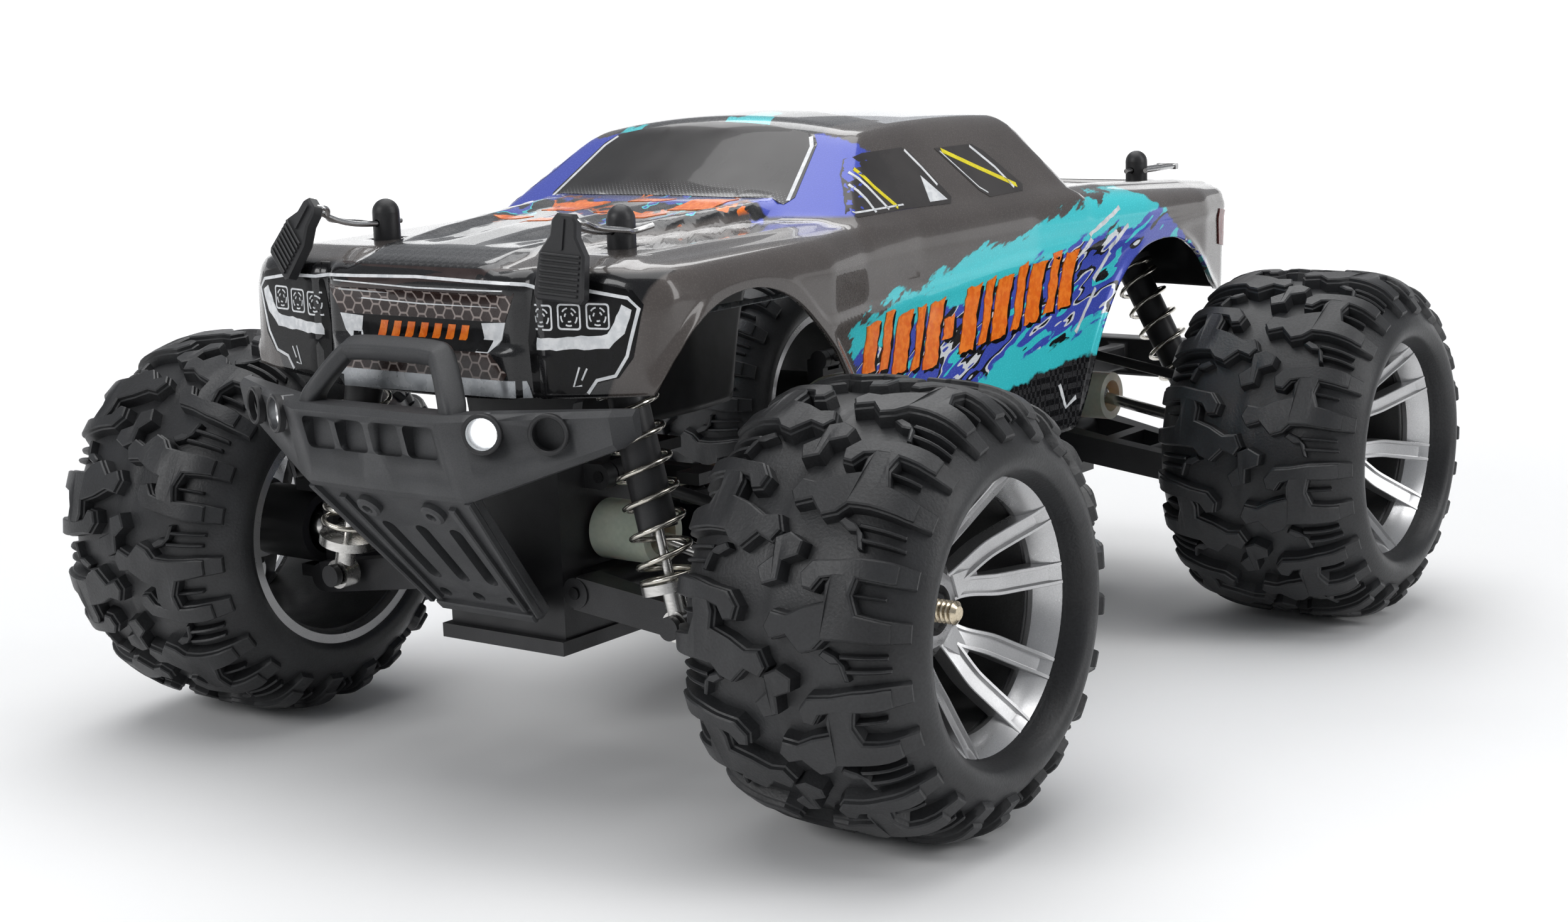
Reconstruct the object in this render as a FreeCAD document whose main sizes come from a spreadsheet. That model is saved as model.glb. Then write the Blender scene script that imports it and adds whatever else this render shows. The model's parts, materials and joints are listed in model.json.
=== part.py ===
"""Four-wheel-drive radio-controlled monster truck, about 1:16 scale, as an assembly of sub-parts.

Frame: millimetres. The origin is on the ground, midway between the axles and on the centre line.
The truck heads along -Y, its left side is +X, and +Z is up. It stands with its arms at full droop.
"""
import FreeCAD, Part
import math
import os
import re
from FreeCAD import Placement, Rotation, Vector

SIZES = {
    # stance
    "wheelbase": 192, "track": 178, "overall_length": 295,
    # tyre and rim
    "tyre_radius": 44, "tyre_width": 54.6, "bead_radius": 26.3, "rim_radius": 27.5, "barrel_radius": 25.2,
    "barrel_wall": 1.5, "rim_outer": 21.2, "rim_inner": 26, "lip_width": 2.2, "dish_depth": 6,
    "web_thickness": 2.5,
    "hub_radius": 9, "axle_radius": 2.5, "axle_tip": 13.6, "hex_radius": 6.6, "hex_thickness": 3.2,
    "nut_radius": 3.6, "nut_thickness": 3.4, "running_gap": 0.05,
    # suspension
    "arm_pivot_x": 20, "arm_pivot_z": 41.5, "arm_drop": 7, "arm_span": 41, "arm_thickness": 7,
    "arm_half_width": 15, "arm_end_half_width": 9, "arm_barrel_radius": 3.2, "pin_radius": 1.25,
    "upper_rise": 22.5, "link_radius": 1.3, "eye_radius": 2.7, "eye_width": 5, "kingpin_x": 70,
    "kingpin_radius": 1.2,
    "hub_wall": 3, "carrier_radius": 8.4, "cup_clearance_radius": 6.4, "carrier_length": 7.6,
    # dampers
    "damper_offset": 15, "front_eye_reach": 27.5, "rear_eye_reach": 35.5, "eye_rise": 1.5,
    "front_damper_top_x": 33, "front_damper_top_z": 97, "rear_damper_top_x": 24.5, "rear_damper_top_z": 95,
    "damper_radius": 4, "damper_bore": 2.6, "damper_cap_radius": 4.8, "damper_cap_length": 6,
    "piston_radius": 2.4,
    "shaft_radius": 1, "damper_eye_radius": 3.2, "damper_eye_width": 4, "damper_screw_radius": 1.2,
    "damper_eye_bore": 1.7, "damper_stroke_room": 19.5, "spring_radius": 5.6, "spring_wire": 0.5,
    "spring_start": 10,
    "spring_end_gap": 9, "spring_pitch": 5, "spring_cup_radius": 6.1, "spring_cup_thickness": 2,
    # steering
    "steering_radius": 15, "tie_rod_inner_x": 29, "tie_rod_inner_z": 57.5, "tie_rod_radius": 1.2,
    "ball_radius": 2.2, "ball_gap": 0.1, "rod_end_radius": 3.7, "rod_end_thickness": 3, "stud_radius": 1.1,
    "link_plate_z": 60, "link_plate_thickness": 2.5, "servo_x": 14, "crank_y": 68, "crank_thickness": 3,
    # driveline
    "drive_z": 52, "cup_outer": 6.3, "cup_inner": 4.2, "joint_ball": 3.6, "dogbone_radius": 1.5,
    "dogbone_inner_x": 27, "cup_mouth_x": 31.5, "diff_radius": 11.5, "diff_half_width": 10,
    "diff_case_radius": 8.5, "ring_gear_x": 3.4,
    "housing_half_width": 16, "housing_half_depth": 14, "housing_wall": 2.2, "housing_top": 67,
    "centre_shaft_radius": 2,
    "spur_radius": 15.6, "spur_width": 4, "spur_y": 14, "motor_radius": 12.2, "motor_length": 42,
    "motor_x": 19,
    "motor_z": 45, "pinion_radius": 4.3,
    # chassis
    "chassis_z": 28, "floor_thickness": 3, "tub_half_width": 36, "tub_half_length": 58, "tub_height": 14,
    "tub_wall": 2.2, "tail_half_width": 17, "chassis_half_length": 112,
    "tower_thickness": 3, "tower_offset": 5.4, "front_post_offset": 9.8, "post_radius": 2.9,
    "front_post_x": 32.4, "front_post_top": 120.3,
    "rear_post_x": 32, "rear_post_top": 116.5, "rear_post_offset": 14, "clip_wire": 0.6, "clip_hole": 0.8,
    "front_clip_z": 115.3, "rear_clip_z": 111.4, "clip_length": 20,
    # electrics
    "battery_width": 25, "battery_length": 57, "battery_height": 18, "servo_width": 12, "servo_length": 23,
    "servo_height": 22.3, "esc_width": 24, "esc_length": 36, "esc_height": 14,
    # body shell
    "shell_wall": 1.2, "flank_bottom": 53.5, "tail_panel_y": 117, "rear_arch_radius": 52,
    "rear_arch_y": 92, "post_hole_radius": 3.5,
    # bumpers
    "panel_half_width": 20, "panel_depth": 7, "panel_bottom": 66, "panel_top": 83.4, "skid_thickness": 2.6,
    "lamp_radius": 3.6, "lamp_depth": 3, "rear_bar_z": 50, "rear_bar_height": 11, "rear_bar_depth": 7,
    "rear_bar_half_width": 30, "screw_head_radius": 2.4, "screw_head_height": 1.6, "screw_radius": 1.3,
}

doc = FreeCAD.newDocument("monster_truck")
sheet = doc.addObject("Spreadsheet::Sheet", "sizes")
for row, (alias, number) in enumerate(SIZES.items(), start=1):
    sheet.set(f"A{row}", alias)
    sheet.set(f"B{row}", str(number))
    sheet.setAlias(f"B{row}", alias)
doc.recompute()

X_AXIS, Y_AXIS, Z_AXIS = Vector(1, 0, 0), Vector(0, 1, 0), Vector(0, 0, 1)
FRONT, REAR = -1, 1
LEFT, RIGHT = 1, -1
END_NAMES = {FRONT: "front", REAR: "rear"}
SIDE_NAMES = {LEFT: "left", RIGHT: "right"}
CORNERS = [(end, side) for end in (FRONT, REAR) for side in (LEFT, RIGHT)]
nodes = []


def size(alias):
    """The number in one cell of the sheet."""
    return float(sheet.get(alias))


AXLE_Y = size("wheelbase") / 2
WHEEL_X = size("track") / 2
AXLE_Z = size("tyre_radius")
ARM_SLOPE = math.degrees(math.atan2(size("arm_drop"), size("arm_span")))
ARM_LENGTH = math.hypot(size("arm_drop"), size("arm_span"))
HUB_X = size("arm_pivot_x") + size("arm_span")
FLOOR_Z = size("chassis_z") + size("floor_thickness")


# ---------------------------------------------------------------- helpers

def bind(thing, prop, source):
    """Give a property a number, or tie it to the sheet by a formula of cell aliases."""
    if isinstance(source, str):
        thing.setExpression(prop, re.sub(r"[a-z][a-z_]+", lambda word: "sizes." + word.group(0), source))
    else:
        setattr(thing, prop, source)


def block(name, low, width, depth, height):
    """A box from its lowest corner; sizes along X, Y and Z."""
    box = doc.addObject("Part::Box", name)
    bind(box, "Length", width)
    bind(box, "Width", depth)
    bind(box, "Height", height)
    box.Placement = Placement(Vector(*low), Rotation())
    return box


def rod(name, start, direction, radius, length):
    """A round bar from its start point."""
    bar = doc.addObject("Part::Cylinder", name)
    bind(bar, "Radius", radius)
    bind(bar, "Height", length)
    bar.Placement = Placement(Vector(*start), Rotation(Z_AXIS, Vector(*direction)))
    return bar


def rod_between(name, start, end, radius):
    """A round bar from one point to another."""
    line = Vector(*end) - Vector(*start)
    return rod(name, start, line, radius, line.Length)


def barrel(name, centre, direction, radius, length):
    """A round bar about its middle point."""
    start = Vector(*centre) - Vector(*direction) * (length / 2)
    return rod(name, start, direction, radius, length)


def ball(name, centre, radius):
    sphere = doc.addObject("Part::Sphere", name)
    bind(sphere, "Radius", radius)
    sphere.Placement = Placement(Vector(*centre), Rotation())
    return sphere


def fuse(name, pieces):
    joined = doc.addObject("Part::MultiFuse", name)
    joined.Shapes = pieces
    return joined


def cut(name, base, tools):
    """Base less all the tools."""
    remainder = doc.addObject("Part::Cut", name)
    remainder.Base = base
    remainder.Tool = tools[0] if len(tools) == 1 else fuse(name + "_tools", tools)
    return remainder


def group(name, solids):
    """Separate solids kept as one object."""
    bundle = doc.addObject("Part::Compound", name)
    bundle.Links = solids
    return bundle


def node(thing, label):
    """Name a finished sub-part."""
    thing.Label = label
    nodes.append(thing)
    return thing


def outline_sketch(body, name, points, plane="XY_Plane"):
    """A closed outline of straight sides on one of a body's own planes."""
    sketch = body.newObject("Sketcher::SketchObject", name)
    support = [feature for feature in body.Origin.OriginFeatures if feature.Role == plane][0]
    sketch.AttachmentSupport = (support, [""])
    sketch.MapMode = "FlatFace"
    corners = [Vector(u, v, 0) for u, v in points]
    for start, end in zip(corners, corners[1:] + corners[:1]):
        sketch.addGeometry(Part.LineSegment(start, end), False)
    return sketch


def padded(name, points, thickness, placement=Placement(), openings=()):
    """A plate: an outline padded to a thickness, with openings pocketed right through it."""
    body = doc.addObject("PartDesign::Body", name)
    pad = body.newObject("PartDesign::Pad", name + "_pad")
    pad.Profile = outline_sketch(body, name + "_outline", points)
    bind(pad, "Length", thickness)
    for index, opening in enumerate(openings):
        pocket = body.newObject("PartDesign::Pocket", f"{name}_pocket{index}")
        pocket.Profile = outline_sketch(body, f"{name}_opening{index}", opening)
        pocket.Type = "ThroughAll"
        pocket.Midplane = True
    body.Placement = placement
    return body


def turned(name, points, placement):
    """A ring turned from a half section: first coordinate along the axis, second the radius."""
    body = doc.addObject("PartDesign::Body", name)
    turning = body.newObject("PartDesign::Revolution", name + "_turning")
    sketch = outline_sketch(body, name + "_section", points)
    turning.Profile = sketch
    turning.ReferenceAxis = (sketch, ["H_Axis"])
    turning.Angle = 360
    body.Placement = placement
    return body


def corner_name(piece, end, side):
    return f"{piece}_{END_NAMES[end]}_{SIDE_NAMES[side]}"


def mirrored(points, side):
    """The outline as it is on the given side."""
    return [(side * u, v) for u, v in points]


# ---------------------------------------------------------------- wheels

def wheel_place(end, side):
    """The wheel's own frame: X along the axle, outwards."""
    facing = Rotation() if side == LEFT else Rotation(Z_AXIS, 180)
    return Placement(Vector(side * WHEEL_X, end * AXLE_Y, AXLE_Z), facing)


def tyre(end, side):
    """Ballooned off-road tyre, hollow inside: a turned wall with open beads that grip the rim."""
    half = size("tyre_width") / 2
    crown = size("tyre_radius")
    bead = size("bead_radius")
    clear = size("lip_width") + 0.1
    lip = size("rim_radius") + 0.1
    outside = [(half - 3, lip + 1.5), (half - 0.3, lip + 5), (half, lip + 8), (half - 1.6, crown - 5.5),
               (half - 5, crown - 2), (half - 11, crown)]
    inside = [(half - 12, crown - 5), (half - 6, crown - 8), (half - 5, lip + 5), (half - 12, bead)]
    outer_seat, inner_seat = size("rim_outer") - clear, size("rim_inner") - clear
    section = [(-inner_seat, bead), (-inner_seat, lip)] + [(-u, r) for u, r in outside]
    section += [(u, r) for u, r in reversed(outside)] + [(outer_seat, lip), (outer_seat, bead)]
    section += [(u, r) for u, r in reversed(inside)] + [(-u, r) for u, r in inside]
    label = corner_name("tyre", end, side)
    node(turned(label + "_wall", section, wheel_place(end, side)), label)


def rim(end, side):
    """Deep-dish rim with a five-window web, on its drive hex, stub axle and lock nut."""
    label = corner_name("rim", end, side)
    place = wheel_place(end, side)
    lip, seat, wall = size("rim_radius"), size("barrel_radius"), size("barrel_wall")
    outer, inner, width = size("rim_outer"), -size("rim_inner"), size("lip_width")
    web = size("dish_depth")
    back = web - size("web_thickness")
    hub, bore = size("hub_radius"), size("axle_radius")
    section = [(inner, seat - wall), (inner, lip), (inner + width, lip), (inner + width, seat),
               (outer - width, seat), (outer - width, lip), (outer, lip), (outer, seat - wall),
               (web, seat - wall), (web, hub), (web + 2.5, hub), (web + 2.5, bore), (0, bore), (0, hub),
               (back, hub), (back, seat - wall)]
    disc = turned(label + "_disc", section, place)
    windows = []
    for index in range(5):
        window = padded(f"{label}_window{index}", [(-4.5, 12.5), (4.5, 12.5), (6.5, 21.5), (-6.5, 21.5)], 12)
        turn = Placement(Vector(-2, 0, 0), Rotation(X_AXIS, 72 * index))
        window.Placement = place * turn * Placement(Vector(), Rotation(Vector(1, 1, 1), 120))
        windows.append(window)
    wheel_disc = cut(label + "_casting", disc, windows)
    outward = place.Rotation.multVec(X_AXIS)
    centre = place.Base
    cup_start = centre - outward * (WHEEL_X - size("kingpin_x") + 3.5)
    cup = rod(label + "_cup", cup_start, outward, "cup_outer - 0.5", 10)
    mouth = rod(label + "_mouth", cup_start, outward, "cup_inner", 8.5)
    shaft = rod(label + "_axle", centre - outward * 13, outward, "axle_radius", size("axle_tip") + 13)
    stub = cut(label + "_stub", fuse(label + "_stub_solid", [cup, shaft]), [mouth])
    hexagon = doc.addObject("Part::Prism", label + "_hex")
    hexagon.Polygon = 6
    bind(hexagon, "Circumradius", "hex_radius")
    bind(hexagon, "Height", "hex_thickness")
    hexagon.Placement = Placement(centre - outward * size("hex_thickness"), Rotation(Z_AXIS, outward))
    drive_hex = cut(label + "_drive_hex", hexagon,
                    [rod(label + "_hex_bore", centre - outward * 8, outward, "axle_radius", 16)])
    nut_body = doc.addObject("Part::Prism", label + "_nut_body")
    nut_body.Polygon = 6
    bind(nut_body, "Circumradius", "nut_radius")
    bind(nut_body, "Height", "nut_thickness")
    nut_body.Placement = Placement(centre + outward * (web + 2.5), Rotation(Z_AXIS, outward))
    nut = cut(label + "_nut", nut_body, [rod(label + "_nut_bore", centre, outward, "axle_radius", 20)])
    node(group(label + "_group", [wheel_disc, stub, drive_hex, nut]), label)


# ---------------------------------------------------------------- suspension

def arm_point(end, side, reach, rise=0, along=0):
    """A point on a lower arm: reach from its inner pivot, rise above its plane, along the truck."""
    slope = math.radians(ARM_SLOPE)
    x = size("arm_pivot_x") + reach * math.cos(slope) + rise * math.sin(slope)
    z = size("arm_pivot_z") - reach * math.sin(slope) + rise * math.cos(slope)
    return Vector(side * x, end * (AXLE_Y + along), z)


def lower_arm(end, side):
    """Lattice lower arm with hinge barrels at the gearbox, ears at the hub and a damper screw."""
    label = corner_name("lower_arm", end, side)
    half, tip = size("arm_half_width"), size("arm_end_half_width")
    length = ARM_LENGTH
    outline = [(0, -half), (length, -tip), (length, -6.4), (length - 5, -6.4), (length - 5, 6.4),
               (length, 6.4),
               (length, tip), (0, half), (0, 8), (14, 8), (14, -8), (0, -8)]
    window = [(17, -7.5), (33, -5.5), (33, 5.5), (17, 7.5)]
    tilt = Rotation(Y_AXIS, ARM_SLOPE)
    facing = Rotation() if side == LEFT else Rotation(Z_AXIS, 180)
    frame = Placement(arm_point(end, side, 0), facing * tilt)
    lowered = frame * Placement(Vector(0, 0, -size("arm_thickness") / 2), Rotation())
    plate = padded(label + "_plate", outline, "arm_thickness", lowered, [window])
    solids, bores = [plate], []
    for sign in (-1, 1):
        spot = arm_point(end, side, 0) + Vector(0, sign * (half + 8) / 2, 0)
        solids.append(barrel(f"{label}_barrel{sign + 1}", spot, Y_AXIS, "arm_barrel_radius", half - 8))
        spot = arm_point(end, side, length) + Vector(0, sign * (tip + 6.4) / 2, 0)
        solids.append(barrel(f"{label}_ear{sign + 1}", spot, Y_AXIS, "arm_barrel_radius", tip - 6.4))
    bores.append(barrel(label + "_bore", arm_point(end, side, 0), Y_AXIS, "pin_radius + running_gap",
                        2 * half + 2))
    bores.append(barrel(label + "_pin_hole", arm_point(end, side, length), Y_AXIS, "pin_radius", 2 * tip + 2))
    web = barrel(label + "_web", arm_point(end, side, 24.5), Y_AXIS, 2.2, 14)
    arm = cut(label + "_arm", fuse(label + "_solid", solids + [web]), bores)
    pin = barrel(label + "_pin", arm_point(end, side, length), Y_AXIS, "pin_radius", 2 * tip)
    eye = damper_foot(end, side)
    screw = rod(label + "_screw", eye + Vector(0, end * 2.6, 0), Vector(0, -end, 0), "damper_screw_radius", 9)
    head = rod(label + "_head", eye + Vector(0, end * 2.6, 0), Vector(0, end, 0), "screw_head_radius",
               "screw_head_height")
    damper_screw = fuse(label + "_damper_screw", [screw, head])
    arm = cut(label + "_drilled", arm, [screw])
    node(group(label + "_group", [arm, pin, damper_screw]), label)


def upper_link(end, side):
    """Upper link: a thin rod between two eyes, parallel to the lower arm."""
    label = corner_name("upper_link", end, side)
    rise = Vector(0, 0, size("upper_rise"))
    inner, outer = arm_point(end, side, 0) + rise, arm_point(end, side, ARM_LENGTH) + rise
    solids = [rod_between(label + "_rod", inner, outer, "link_radius")]
    solids.append(barrel(label + "_inner_eye", inner, Y_AXIS, "eye_radius", size("eye_width")))
    solids.append(barrel(label + "_outer_eye", outer, Y_AXIS, "eye_radius", size("eye_width")))
    bores = [barrel(label + "_inner_bore", inner, Y_AXIS, "pin_radius + running_gap", 8),
             barrel(label + "_outer_bore", outer, Y_AXIS, "pin_radius + running_gap", 8)]
    node(cut(label + "_link", fuse(label + "_solid", solids), bores), label)


def hub_ears(label, end, side):
    """The lugs that carry a hub: one on the arm's outer pin, two astride the upper link's eye."""
    low = arm_point(end, side, ARM_LENGTH)
    high = low + Vector(0, 0, size("upper_rise"))
    solids = [barrel(label + "_low_lug", low, Y_AXIS, 2.8, 12)]
    for sign in (-1, 1):
        spot = high + Vector(0, sign * 4.1, 0)
        solids.append(barrel(f"{label}_high_lug{sign + 1}", spot, Y_AXIS, 2.8, 2.4))
    bore = barrel(label + "_low_bore", low, Y_AXIS, "pin_radius + running_gap", 14)
    pin = barrel(label + "_pin", high, Y_AXIS, "pin_radius", 10.6)
    return solids, bore, pin


def c_hub(side):
    """C-shaped steering hub: a web inboard of the drive cup and a prong over and under the knuckle."""
    label = corner_name("c_hub", FRONT, side)
    solids, bore, pin = hub_ears(label, FRONT, side)
    low = arm_point(FRONT, side, ARM_LENGTH)
    web_x = side * HUB_X
    thick = size("hub_wall")
    web_low = Vector(min(web_x - 1.5, web_x + 1.5), -AXLE_Y - 5.9, low.z)
    solids.append(block(label + "_web", web_low, thick, 11.8, size("upper_rise") - 3.2))
    king_x = size("kingpin_x")
    for name, z in (("low", AXLE_Z - 11.4), ("high", AXLE_Z + 8.7)):
        inner, outer = sorted((side * (HUB_X - 1.5), side * (king_x + 3)))
        prong = block(f"{label}_{name}_prong", (inner, -AXLE_Y - 4, z), outer - inner, 8, 2.7)
        solids.append(prong)
    window = barrel(label + "_window", (web_x, -AXLE_Y, AXLE_Z), X_AXIS, 5.2, 8)
    slot = block(label + "_eye_slot", (web_x - 4, -AXLE_Y - 2.8, low.z + size("upper_rise") - 3.2), 8, 5.6, 8)
    king_bores = rod(label + "_king_bore", (side * king_x, -AXLE_Y, AXLE_Z - 13), Z_AXIS,
                     "kingpin_radius + running_gap", 26)
    hub = cut(label + "_hub", fuse(label + "_solid", solids), [window, slot, bore, king_bores])
    drilled = cut(label + "_drilled", hub, [pin])
    node(group(label + "_group", [drilled, pin]), label)


def bearing_barrel(label, end, side, start_x):
    """The round carrier that the stub axle turns in, with room for its drive cup."""
    outward = Vector(side, 0, 0)
    cup_end = size("kingpin_x") + 7.5
    body = rod(label + "_carrier", (side * start_x, end * AXLE_Y, AXLE_Z), outward, "carrier_radius",
               cup_end + size("carrier_length") - start_x)
    cavity = rod(label + "_cavity", (side * (start_x - 4), end * AXLE_Y, AXLE_Z), outward,
                 "cup_clearance_radius",
                 cup_end - start_x + 4)
    bore = rod(label + "_axle_bore", (side * start_x, end * AXLE_Y, AXLE_Z), outward,
               "axle_radius + running_gap", 30)
    return body, [cavity, bore]


def knuckle(side):
    """Steering knuckle with its kingpins, bearing carrier, steering arm and ball stud."""
    label = corner_name("knuckle", FRONT, side)
    body, bores = bearing_barrel(label, FRONT, side, size("kingpin_x") - 3)
    king_x = side * size("kingpin_x")
    ball_y = -AXLE_Y + size("steering_radius")
    ball_z = size("tie_rod_inner_z") - size("arm_drop")
    arm_low = Vector(king_x - 2.2, -AXLE_Y + 7.4, ball_z - 6.4)
    steering_arm = block(label + "_steering_arm", arm_low, 4.4, size("steering_radius") - 5, 3)
    stud = rod(label + "_stud", (king_x, ball_y, ball_z - 5), Z_AXIS, "stud_radius", 5)
    stud_ball = ball(label + "_ball", (king_x, ball_y, ball_z), "ball_radius")
    trunnions = []
    for name, z in (("low", AXLE_Z - 11.4), ("high", AXLE_Z + 8)):
        trunnions.append(rod(f"{label}_{name}_kingpin", (king_x, -AXLE_Y, z), Z_AXIS, "kingpin_radius", 3.4))
    carrier = cut(label + "_bored", body, bores)
    node(fuse(label + "_solid", [carrier, steering_arm, stud, stud_ball] + trunnions), label)


def rear_hub(side):
    """Rear hub carrier: the bearing carrier and its lugs in one moulding."""
    label = corner_name("rear_hub", REAR, side)
    solids, bore, pin = hub_ears(label, REAR, side)
    body, bores = bearing_barrel(label, REAR, side, size("kingpin_x") - 8.8)
    low = arm_point(REAR, side, ARM_LENGTH)
    inner, outer = sorted((side * (HUB_X - 1.5), side * (HUB_X + 4)))
    web = block(label + "_web", (inner, AXLE_Y - 5.3, low.z), outer - inner, 10.6, size("upper_rise"))
    slot = block(label + "_eye_slot",
                 (side * HUB_X - 6.5, AXLE_Y - 2.8, low.z + size("upper_rise") - 3.2), 13, 5.6, 8)
    hub = cut(label + "_hub", fuse(label + "_solid", solids + [body, web]), [slot, bore, pin] + bores)
    node(group(label + "_group", [hub, pin]), label)


# ---------------------------------------------------------------- dampers

def damper_foot(end, side):
    """Centre of the damper's lower eye, on the arm."""
    reach = size("front_eye_reach") if end == FRONT else size("rear_eye_reach")
    return arm_point(end, side, reach, size("eye_rise"), size("damper_offset"))


def damper_head(end, side):
    """Centre of the damper's upper eye, on the tower."""
    name = END_NAMES[end]
    x, z = size(name + "_damper_top_x"), size(name + "_damper_top_z")
    return Vector(side * x, end * (AXLE_Y + size("damper_offset")), z)


def damper_axis(end, side):
    """Unit vector from the upper eye down to the lower one, and the distance between them."""
    line = damper_foot(end, side) - damper_head(end, side)
    return Vector(line).normalize(), line.Length


def shock_body(end, side):
    """Oil cylinder with its cap and upper eye."""
    label = corner_name("shock_body", end, side)
    head = damper_head(end, side)
    down, length = damper_axis(end, side)
    cylinder_end = length - size("damper_stroke_room")
    cap_start = head + down * 3.4
    solids = [rod(label + "_cap", cap_start, down, "damper_cap_radius", "damper_cap_length"),
              rod(label + "_cylinder", head + down * 5, down, "damper_radius", cylinder_end - 5),
              rod(label + "_neck", head, down, 1.9, 5),
              barrel(label + "_eye", head, Y_AXIS, "damper_eye_radius", size("damper_eye_width"))]
    bores = [barrel(label + "_eye_bore", head, Y_AXIS, "damper_screw_radius + running_gap", 5),
             rod(label + "_chamber", head + down * 11, down, "damper_bore", cylinder_end - 13),
             rod(label + "_seal_bore", head + down * 11, down, "shaft_radius + running_gap", cylinder_end)]
    node(cut(label + "_body", fuse(label + "_solid", solids), bores), label)


def shock_shaft(end, side):
    """Piston, rod, lower spring cup and lower eye."""
    label = corner_name("shock_shaft", end, side)
    head = damper_head(end, side)
    down, length = damper_axis(end, side)
    piston_start = length - size("damper_stroke_room") - 4.6
    cup_start = length - size("spring_end_gap")
    foot = damper_foot(end, side)
    solids = [rod(label + "_piston", head + down * piston_start, down, "piston_radius", 2),
              rod(label + "_rod", head + down * piston_start, down, "shaft_radius",
                  length - piston_start - 2),
              rod(label + "_spring_cup", head + down * cup_start, down, "spring_cup_radius",
                  "spring_cup_thickness"),
              rod(label + "_neck", head + down * cup_start, down, 2.2, size("spring_end_gap") - 1),
              barrel(label + "_eye", foot, Y_AXIS, "damper_eye_radius", size("damper_eye_width"))]
    bore = barrel(label + "_eye_bore", foot, Y_AXIS, "damper_eye_bore", 8)
    node(cut(label + "_shaft", fuse(label + "_solid", solids), [bore]), label)


def spring(end, side):
    """Coil spring round the damper, as a wire swept along a helix."""
    label = corner_name("spring", end, side)
    down, length = damper_axis(end, side)
    wire = size("spring_wire")
    travel = length - size("spring_end_gap") - size("spring_start") - 2 * wire - 0.1
    coil = Part.makeHelix(size("spring_pitch"), travel, size("spring_radius"))
    section = Part.Wire(Part.Circle(Vector(size("spring_radius"), 0, 0), Y_AXIS, wire).toShape())
    feature = doc.addObject("Part::Feature", label + "_coil")
    feature.Shape = Part.Wire(coil.Edges).makePipeShell([section], True, True)
    feature.Placement = Placement(damper_head(end, side) + down * (size("spring_start") + wire),
                                  Rotation(Z_AXIS, down))
    node(feature, label)


# ---------------------------------------------------------------- driveline

def dogbone(end, side):
    """Drive shaft with a ball at each end, from the gearbox cup to the wheel's cup, turned in one piece."""
    label = corner_name("dogbone", end, side)
    inner = Vector(side * size("dogbone_inner_x"), end * AXLE_Y, size("drive_z"))
    outer = Vector(side * size("kingpin_x"), end * AXLE_Y, AXLE_Z)
    reach = (outer - inner).Length
    radius, neck = size("joint_ball"), size("dogbone_radius")
    rise = math.sqrt(radius ** 2 - neck ** 2)
    near_ball = Part.Arc(Vector(0, 0, -radius), Vector(radius, 0, 0), Vector(neck, 0, rise)).toShape()
    far_ball = Part.Arc(Vector(neck, 0, reach - rise), Vector(radius, 0, reach),
                        Vector(0, 0, reach + radius)).toShape()
    shaft = Part.makeLine(Vector(neck, 0, rise), Vector(neck, 0, reach - rise))
    axis = Part.makeLine(Vector(0, 0, reach + radius), Vector(0, 0, -radius))
    outline = Part.Face(Part.Wire([near_ball, shaft, far_ball, axis]))
    feature = doc.addObject("Part::Feature", label + "_bone")
    feature.Shape = outline.revolve(Vector(), Z_AXIS, 360)
    feature.Placement = Placement(inner, Rotation(Z_AXIS, outer - inner))
    node(feature, label)


def differential(end):
    """Differential case with its ring gear and the two outdrive cups."""
    label = END_NAMES[end] + "_diff"
    centre = (0, end * AXLE_Y, size("drive_z"))
    case = barrel(label + "_case", centre, X_AXIS, "diff_case_radius", 2 * size("diff_half_width"))
    ring_side = -end
    ring = rod(label + "_ring", (ring_side * size("ring_gear_x"), end * AXLE_Y, size("drive_z")),
               Vector(ring_side, 0, 0), "diff_radius", 4)
    solids, cups = [case, ring], []
    for side in (LEFT, RIGHT):
        outward = Vector(side, 0, 0)
        name = f"{label}_{SIDE_NAMES[side]}"
        solids.append(rod(name + "_stub", (side * 8, *centre[1:]), outward, 4, 12))
        start = (side * (size("housing_half_width") + 1), *centre[1:])
        depth = size("cup_mouth_x") - size("housing_half_width") - 1
        solids.append(rod(name + "_cup", start, outward, "cup_outer", depth))
        mouth_start = (side * (size("cup_mouth_x") - 9), *centre[1:])
        cups.append(rod(name + "_mouth", mouth_start, outward, "cup_inner", 12))
    node(cut(label + "_assembly", fuse(label + "_solid", solids), cups), label)


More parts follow.
